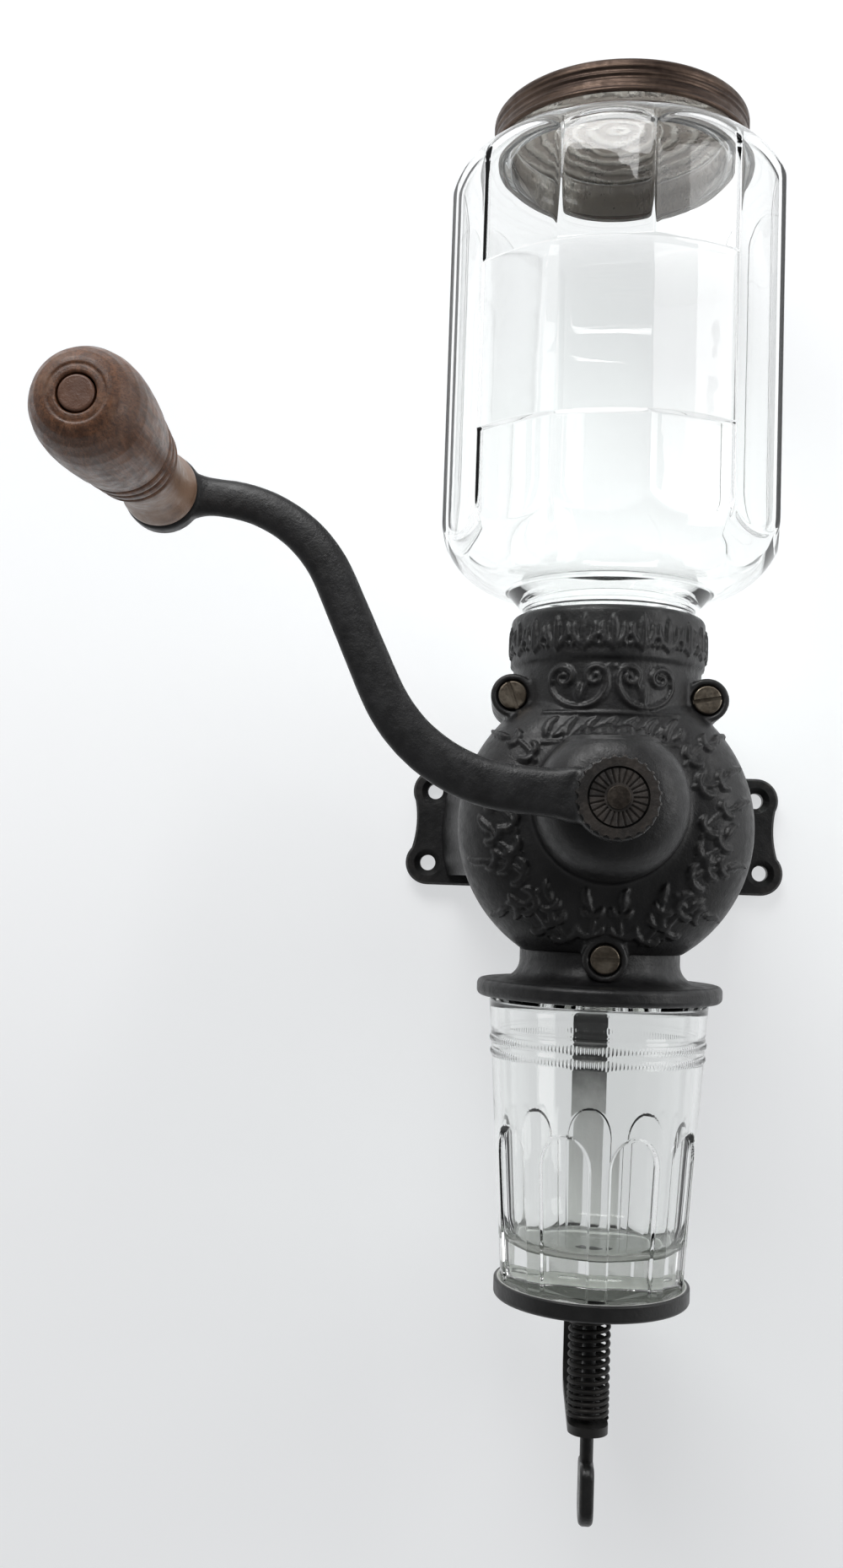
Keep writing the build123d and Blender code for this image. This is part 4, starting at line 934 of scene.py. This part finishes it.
CUP_RIM_R, CUP_FOOT_R = 34.5, 28.2
CUP_RIM_Z, CUP_HEIGHT = -55.2, 90.8
CUP_FOOT_Z = CUP_RIM_Z - CUP_HEIGHT
CUP_LEAN = (CUP_RIM_R - CUP_FOOT_R) / CUP_HEIGHT
CUP_WALL, CUP_BASE = 2.4, 15.0
CUP_RIM_ROUND, CUP_FOOT_ROUND, CUP_INNER_ROUND = 1.2, 1.5, 6.2
CUP_LINE_Z, CUP_LINE_HALF, CUP_LINE_DEPTH = -65.4, 0.7, 0.3
BEAD_RING_Z, BEAD_RING_HALF, BEAD_RING_RISE = (-68.2, -72.4), 1.0, 0.34
FLUTES = 9
FLUTE_HALF = 14.6
FLUTE_TOP_Z = -93.8
FLUTE_ARCH = 10.0
FLUTE_DEPTH = 0.8
FLUTE_EDGE = (-0.8, 0.2)
CUP_COLUMNS = 720
REEDS, REED_RISE = 180, 0.14


def cup_outer_profile():
    """Radius and height of the cup's outer side as if it were round, from foot to rim."""
    outline = [(0.01, CUP_FOOT_Z), (CUP_FOOT_R - 5, CUP_FOOT_Z), (CUP_FOOT_R - 4, CUP_FOOT_Z)]
    outline += arc((CUP_FOOT_R - CUP_FOOT_ROUND, CUP_FOOT_Z + CUP_FOOT_ROUND), CUP_FOOT_ROUND, -90, -4, 7)
    low = (CUP_FOOT_R + CUP_LEAN * 1.6, CUP_FOOT_Z + 1.6)
    high = (CUP_RIM_R - CUP_LEAN * CUP_RIM_ROUND, CUP_RIM_Z - CUP_RIM_ROUND)
    outline += [tuple(point) for point in spaced([low, high], 0.45)]
    outline += arc((CUP_RIM_R - CUP_RIM_ROUND, CUP_RIM_Z - CUP_RIM_ROUND), CUP_RIM_ROUND, 0, 180, 12)
    return np.array(outline)


def cup_inner_profile():
    """Radius and height of the cup's inner side, from rim to middle."""
    floor = CUP_FOOT_Z + CUP_BASE
    low = CUP_FOOT_R + CUP_LEAN * CUP_BASE - CUP_WALL
    inner = [(CUP_RIM_R - CUP_WALL, CUP_RIM_Z - CUP_RIM_ROUND), (low + CUP_LEAN * 7, floor + 7)]
    inner += arc((low - 6, floor + CUP_INNER_ROUND), CUP_INNER_ROUND, 0, -90, 10)
    inner += [(0.01, floor - 0.2)]
    return spaced(inner, 2.0)


def fluted(radius, height, angles):
    """The cup's radii with flutes cut flat, each ending in a round arch."""
    pitch = 360 / FLUTES
    off = np.mod(np.degrees(angles) + 90, pitch) - pitch / 2
    rise = np.clip((height - (FLUTE_TOP_Z - FLUTE_ARCH)) / FLUTE_ARCH, 0, 1)
    half = FLUTE_HALF * np.sqrt(1 - rise ** 2)
    inside = 1 - soft_step(np.abs(off)[None, :] - half[:, None], *FLUTE_EDGE)
    inside *= (1 - soft_step(height, FLUTE_TOP_Z - 0.8, FLUTE_TOP_Z + 0.3))[:, None]
    inside *= soft_step(height, CUP_FOOT_Z + 1.5, CUP_FOOT_Z + 4.5)[:, None]
    flat = (radius - FLUTE_DEPTH) * cos(radians(FLUTE_HALF)) / np.cos(np.radians(off))[None, :]
    return radius + (np.minimum(flat, radius) - radius) * inside


def ringed(radius, height, angles):
    """The cup's radii with the fine groove and the two reeded rings below the rim."""
    groove = np.clip(1 - np.abs(height - CUP_LINE_Z) / CUP_LINE_HALF, 0, 1)
    radius = radius - CUP_LINE_DEPTH * groove[:, None]
    reeds = BEAD_RING_RISE + REED_RISE * np.cos(angles * REEDS)
    for middle in BEAD_RING_Z:
        band = np.sqrt(np.clip(1 - ((height - middle) / BEAD_RING_HALF) ** 2, 0, 1))
        radius = radius + band[:, None] * reeds[None, :]
    return radius


def cup_glass_piece():
    """Pressed glass tumbler with flutes, a fine groove and two reeded rings."""
    angles = np.linspace(0, 2 * pi, CUP_COLUMNS, endpoint=False)
    outer, inner = cup_outer_profile(), cup_inner_profile()
    radius = np.repeat(outer[:, 0:1], CUP_COLUMNS, axis=1)
    radius = ringed(fluted(radius, outer[:, 1], angles), outer[:, 1], angles)
    inner_radius = np.repeat(inner[:, 0:1], CUP_COLUMNS, axis=1)
    points = np.concatenate([rings(radius, outer[:, 1], angles), rings(inner_radius, inner[:, 1], angles)])
    faces = ring_faces(len(outer) + len(inner), CUP_COLUMNS)
    made = new_object("catch_cup_glass", points, faces, [cup_glass])
    stands_for(made, "tray", "clear_glass", "catch_cup")


cup_glass_piece()


# Tray spring


def tray_spring_coil():
    """Copy of the coil, shown in place of the CAD node."""
    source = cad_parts["tray_spring"]
    made = bpy.data.objects.new("tray_spring_coil", source.data.copy())
    bpy.context.scene.collection.objects.link(made)
    made.matrix_world = source.matrix_world.copy()
    stands_for(made, "casing", "spring_steel", "tray_spring")
    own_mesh(made)


tray_spring_coil()


# Crank knob

KNOB_GROOVES, KNOB_GROOVES_START, KNOB_GROOVE_STEP = 3, -94.5, 5.6
KNOB_GROOVES_R = (11.6, 13.0)


def turned_knob():
    """Barrel knob with three grooves and a recess for the spindle's head."""
    outline = [(3.16, -65.3), (10.0, -65.3), (10.6, -65.7), (10.8, -66.6), (10.75, -68.2)]
    outline += [(10.35, -70.5), (9.75, -73.5), (9.42, -77.0), (9.55, -81.0)]
    outline += [(10.1, -86.0), (10.9, -91.0), (11.5, -94.4)]
    for index in range(KNOB_GROOVES):
        share = (index + 0.5) / KNOB_GROOVES
        centre = KNOB_GROOVES_START - KNOB_GROOVE_STEP * KNOB_GROOVES * share
        radius = KNOB_GROOVES_R[0] + (KNOB_GROOVES_R[1] - KNOB_GROOVES_R[0]) * share
        outline += [(radius - 0.35, centre + 2.3), (radius + 0.05, centre + 1.3)]
        outline += [(radius - 0.2, centre + 0.8)]
        outline += [(radius - 0.9, centre + 0.35), (radius - 0.9, centre - 0.35)]
        outline += [(radius - 0.1, centre - 0.8), (radius + 0.15, centre - 1.3)]
        outline += [(radius + 0.2, centre - 2.3)]
    outline += [(13.1, -111.9), (13.75, -117), (14.2, -123), (14.48, -129), (14.5, -133), (14.2, -137.5)]
    outline += [(13.4, -141.4), (12.0, -144.6), (10.3, -146.7), (8.6, -147.7), (7.4, -147.95)]
    outline += [(6.9, -147.7), (6.5, -147.9), (5.2, -148.0), (4.9, -147.7), (4.8, -145.5)]
    made = turned("crank_knob_wood", outline, KNOB_SPOT, [knob_wood], columns=144, step=0.45)
    stands_for(made, "knob", "turned_wood", "crank_knob")


turned_knob()


# Stage, light and camera

# Glow of the backdrop at its bottom and top: lower at the bottom as painted shade.
WALL_GLOW_LOW, WALL_GLOW_HIGH = 0.52, 0.66
GLOW_LOW_Z, GLOW_HIGH_Z = -180, 120
WALL_REACH, WALL_DEPTH = 3000.0, 1.0
ROOM_DIM, ROOM_BRIGHT, ROOM_SEEN = 0.16, 0.95, 0.93
ROOM_FRONT, ROOM_BACK = -0.6, 0.5
KEY_POWER, SIDE_POWER = 11, 4
CAMERA_SPOT = (-28.61, -532.34, -22.11)
CAMERA_PITCH, CAMERA_YAW, CAMERA_ROLL = 4.04, -3.61, -2.00
CAMERA_FOCUS_PX, PHOTO_HEIGHT_PX = 1750.3, 1859


def backdrop_share(tree, *kinds):
    """One for the rays that show the backdrop as such: camera, mirror and glass rays."""
    paths = tree.nodes.new("ShaderNodeLightPath")
    total = paths.outputs[kinds[0]]
    for kind in kinds[1:]:
        more = tree.nodes.new("ShaderNodeMath")
        more.operation = "MAXIMUM"
        tree.links.new(total, more.inputs[0])
        tree.links.new(paths.outputs[kind], more.inputs[1])
        total = more.outputs["Value"]
    return total


def stage_wall():
    """Pale wall that shows from the front only, so that the back stays in sight."""
    paint = Paint("pale_wall", Roughness=0.85)
    cloud = paint.noise(0.004, 3, 0.5, stretch=(1, 1, 2.5))
    paint.colour(paint.blend(cloud, (0.40, 0.405, 0.41), (0.46, 0.46, 0.465)))
    paint.put((0.97, 0.985, 1.0, 1), paint.shader.inputs["Emission Color"])
    shown = backdrop_share(paint.tree, "Is Camera Ray", "Is Glossy Ray", "Is Transmission Ray")
    # The backdrop's glow is painted dimmer towards the bottom: painted shade of the light falling off.
    glow = paint.ramp(paint.height(), GLOW_LOW_Z, GLOW_HIGH_Z, WALL_GLOW_LOW, WALL_GLOW_HIGH)
    paint.put(paint.sums("MULTIPLY", shown, glow), paint.shader.inputs["Emission Strength"])
    geometry = paint.node("ShaderNodeNewGeometry")
    clear = paint.node("ShaderNodeBsdfTransparent")
    mixed = paint.node("ShaderNodeMixShader")
    paint.link(geometry.outputs["Backfacing"], mixed.inputs["Fac"])
    paint.link(paint.shader.outputs["BSDF"], mixed.inputs[1])
    paint.link(clear.outputs["BSDF"], mixed.inputs[2])
    paint.link(mixed.outputs["Shader"], paint.output.inputs["Surface"])
    corners = ((-1, -1), (1, -1), (1, 1), (-1, 1))
    points = [(x * WALL_REACH, WALL_DEPTH, z * WALL_REACH) for x, z in corners]
    wall = new_object("backdrop_wall", points, [(0, 1, 2, 3)], [paint.material])


def world_light():
    """Pale surroundings, dimmer on the user's side, as in a room behind a camera."""
    world = bpy.data.worlds.new("room")
    bpy.context.scene.world = world
    world.use_nodes = True
    tree = world.node_tree
    background = tree.nodes["Background"]
    spot = tree.nodes.new("ShaderNodeTexCoord")
    parts = tree.nodes.new("ShaderNodeSeparateXYZ")
    tree.links.new(spot.outputs["Generated"], parts.inputs["Vector"])
    share = tree.nodes.new("ShaderNodeMapRange")
    tree.links.new(parts.outputs["Y"], share.inputs["Value"])
    share.inputs["From Min"].default_value = ROOM_FRONT
    share.inputs["From Max"].default_value = ROOM_BACK
    share.inputs["To Min"].default_value = ROOM_DIM
    share.inputs["To Max"].default_value = ROOM_BRIGHT
    seen = tree.nodes.new("ShaderNodeMix")
    tree.links.new(backdrop_share(tree, "Is Camera Ray"), seen.inputs["Factor"])
    tree.links.new(share.outputs["Result"], seen.inputs["A"])
    seen.inputs["B"].default_value = ROOM_SEEN
    tree.links.new(seen.outputs["Result"], background.inputs["Strength"])
    background.inputs["Color"].default_value = (0.98, 0.99, 1.0, 1)


def lamp(name, place, aim, size, power):
    """Rectangular lamp at a place, turned towards its aim, all in metres."""
    light = bpy.data.lights.new(name, "AREA")
    light.shape = "RECTANGLE"
    light.size, light.size_y = size
    light.energy = power
    made = bpy.data.objects.new(name, light)
    bpy.context.scene.collection.objects.link(made)
    made.location = place
    made.rotation_mode = "QUATERNION"
    made.rotation_quaternion = (Vector(aim) - Vector(place)).to_track_quat("-Z", "Y")


def camera():
    """Camera of the photograph, its place in millimetres and its turns in degrees."""
    place = Vector(CAMERA_SPOT) * MM
    pitch, yaw, roll = radians(CAMERA_PITCH), radians(CAMERA_YAW), radians(CAMERA_ROLL)
    forward = Vector((sin(yaw) * cos(pitch), cos(yaw) * cos(pitch), sin(pitch)))
    right = Vector((cos(yaw), -sin(yaw), 0))
    up = right.cross(forward)
    turned_right = right * cos(roll) - up * sin(roll)
    turned_up = right * sin(roll) + up * cos(roll)
    data = bpy.data.cameras.new("camera")
    data.sensor_width = 36.0
    data.lens = CAMERA_FOCUS_PX * data.sensor_width / PHOTO_HEIGHT_PX
    data.clip_start = 0.01
    made = bpy.data.objects.new("camera", data)
    bpy.context.scene.collection.objects.link(made)
    turn = Matrix((turned_right, turned_up, -forward)).transposed()
    made.matrix_world = Matrix.Translation(place) @ turn.to_4x4()
    bpy.context.scene.camera = made


stage_wall()
world_light()
lamp("key", (-0.35, -0.85, 0.95), (0, -0.05, 0.05), (0.9, 0.6), KEY_POWER)
lamp("side", (0.95, -0.55, 0.25), (0, -0.05, 0.0), (0.5, 0.9), SIDE_POWER)
camera()
bpy.context.scene.view_settings.view_transform = "Standard"
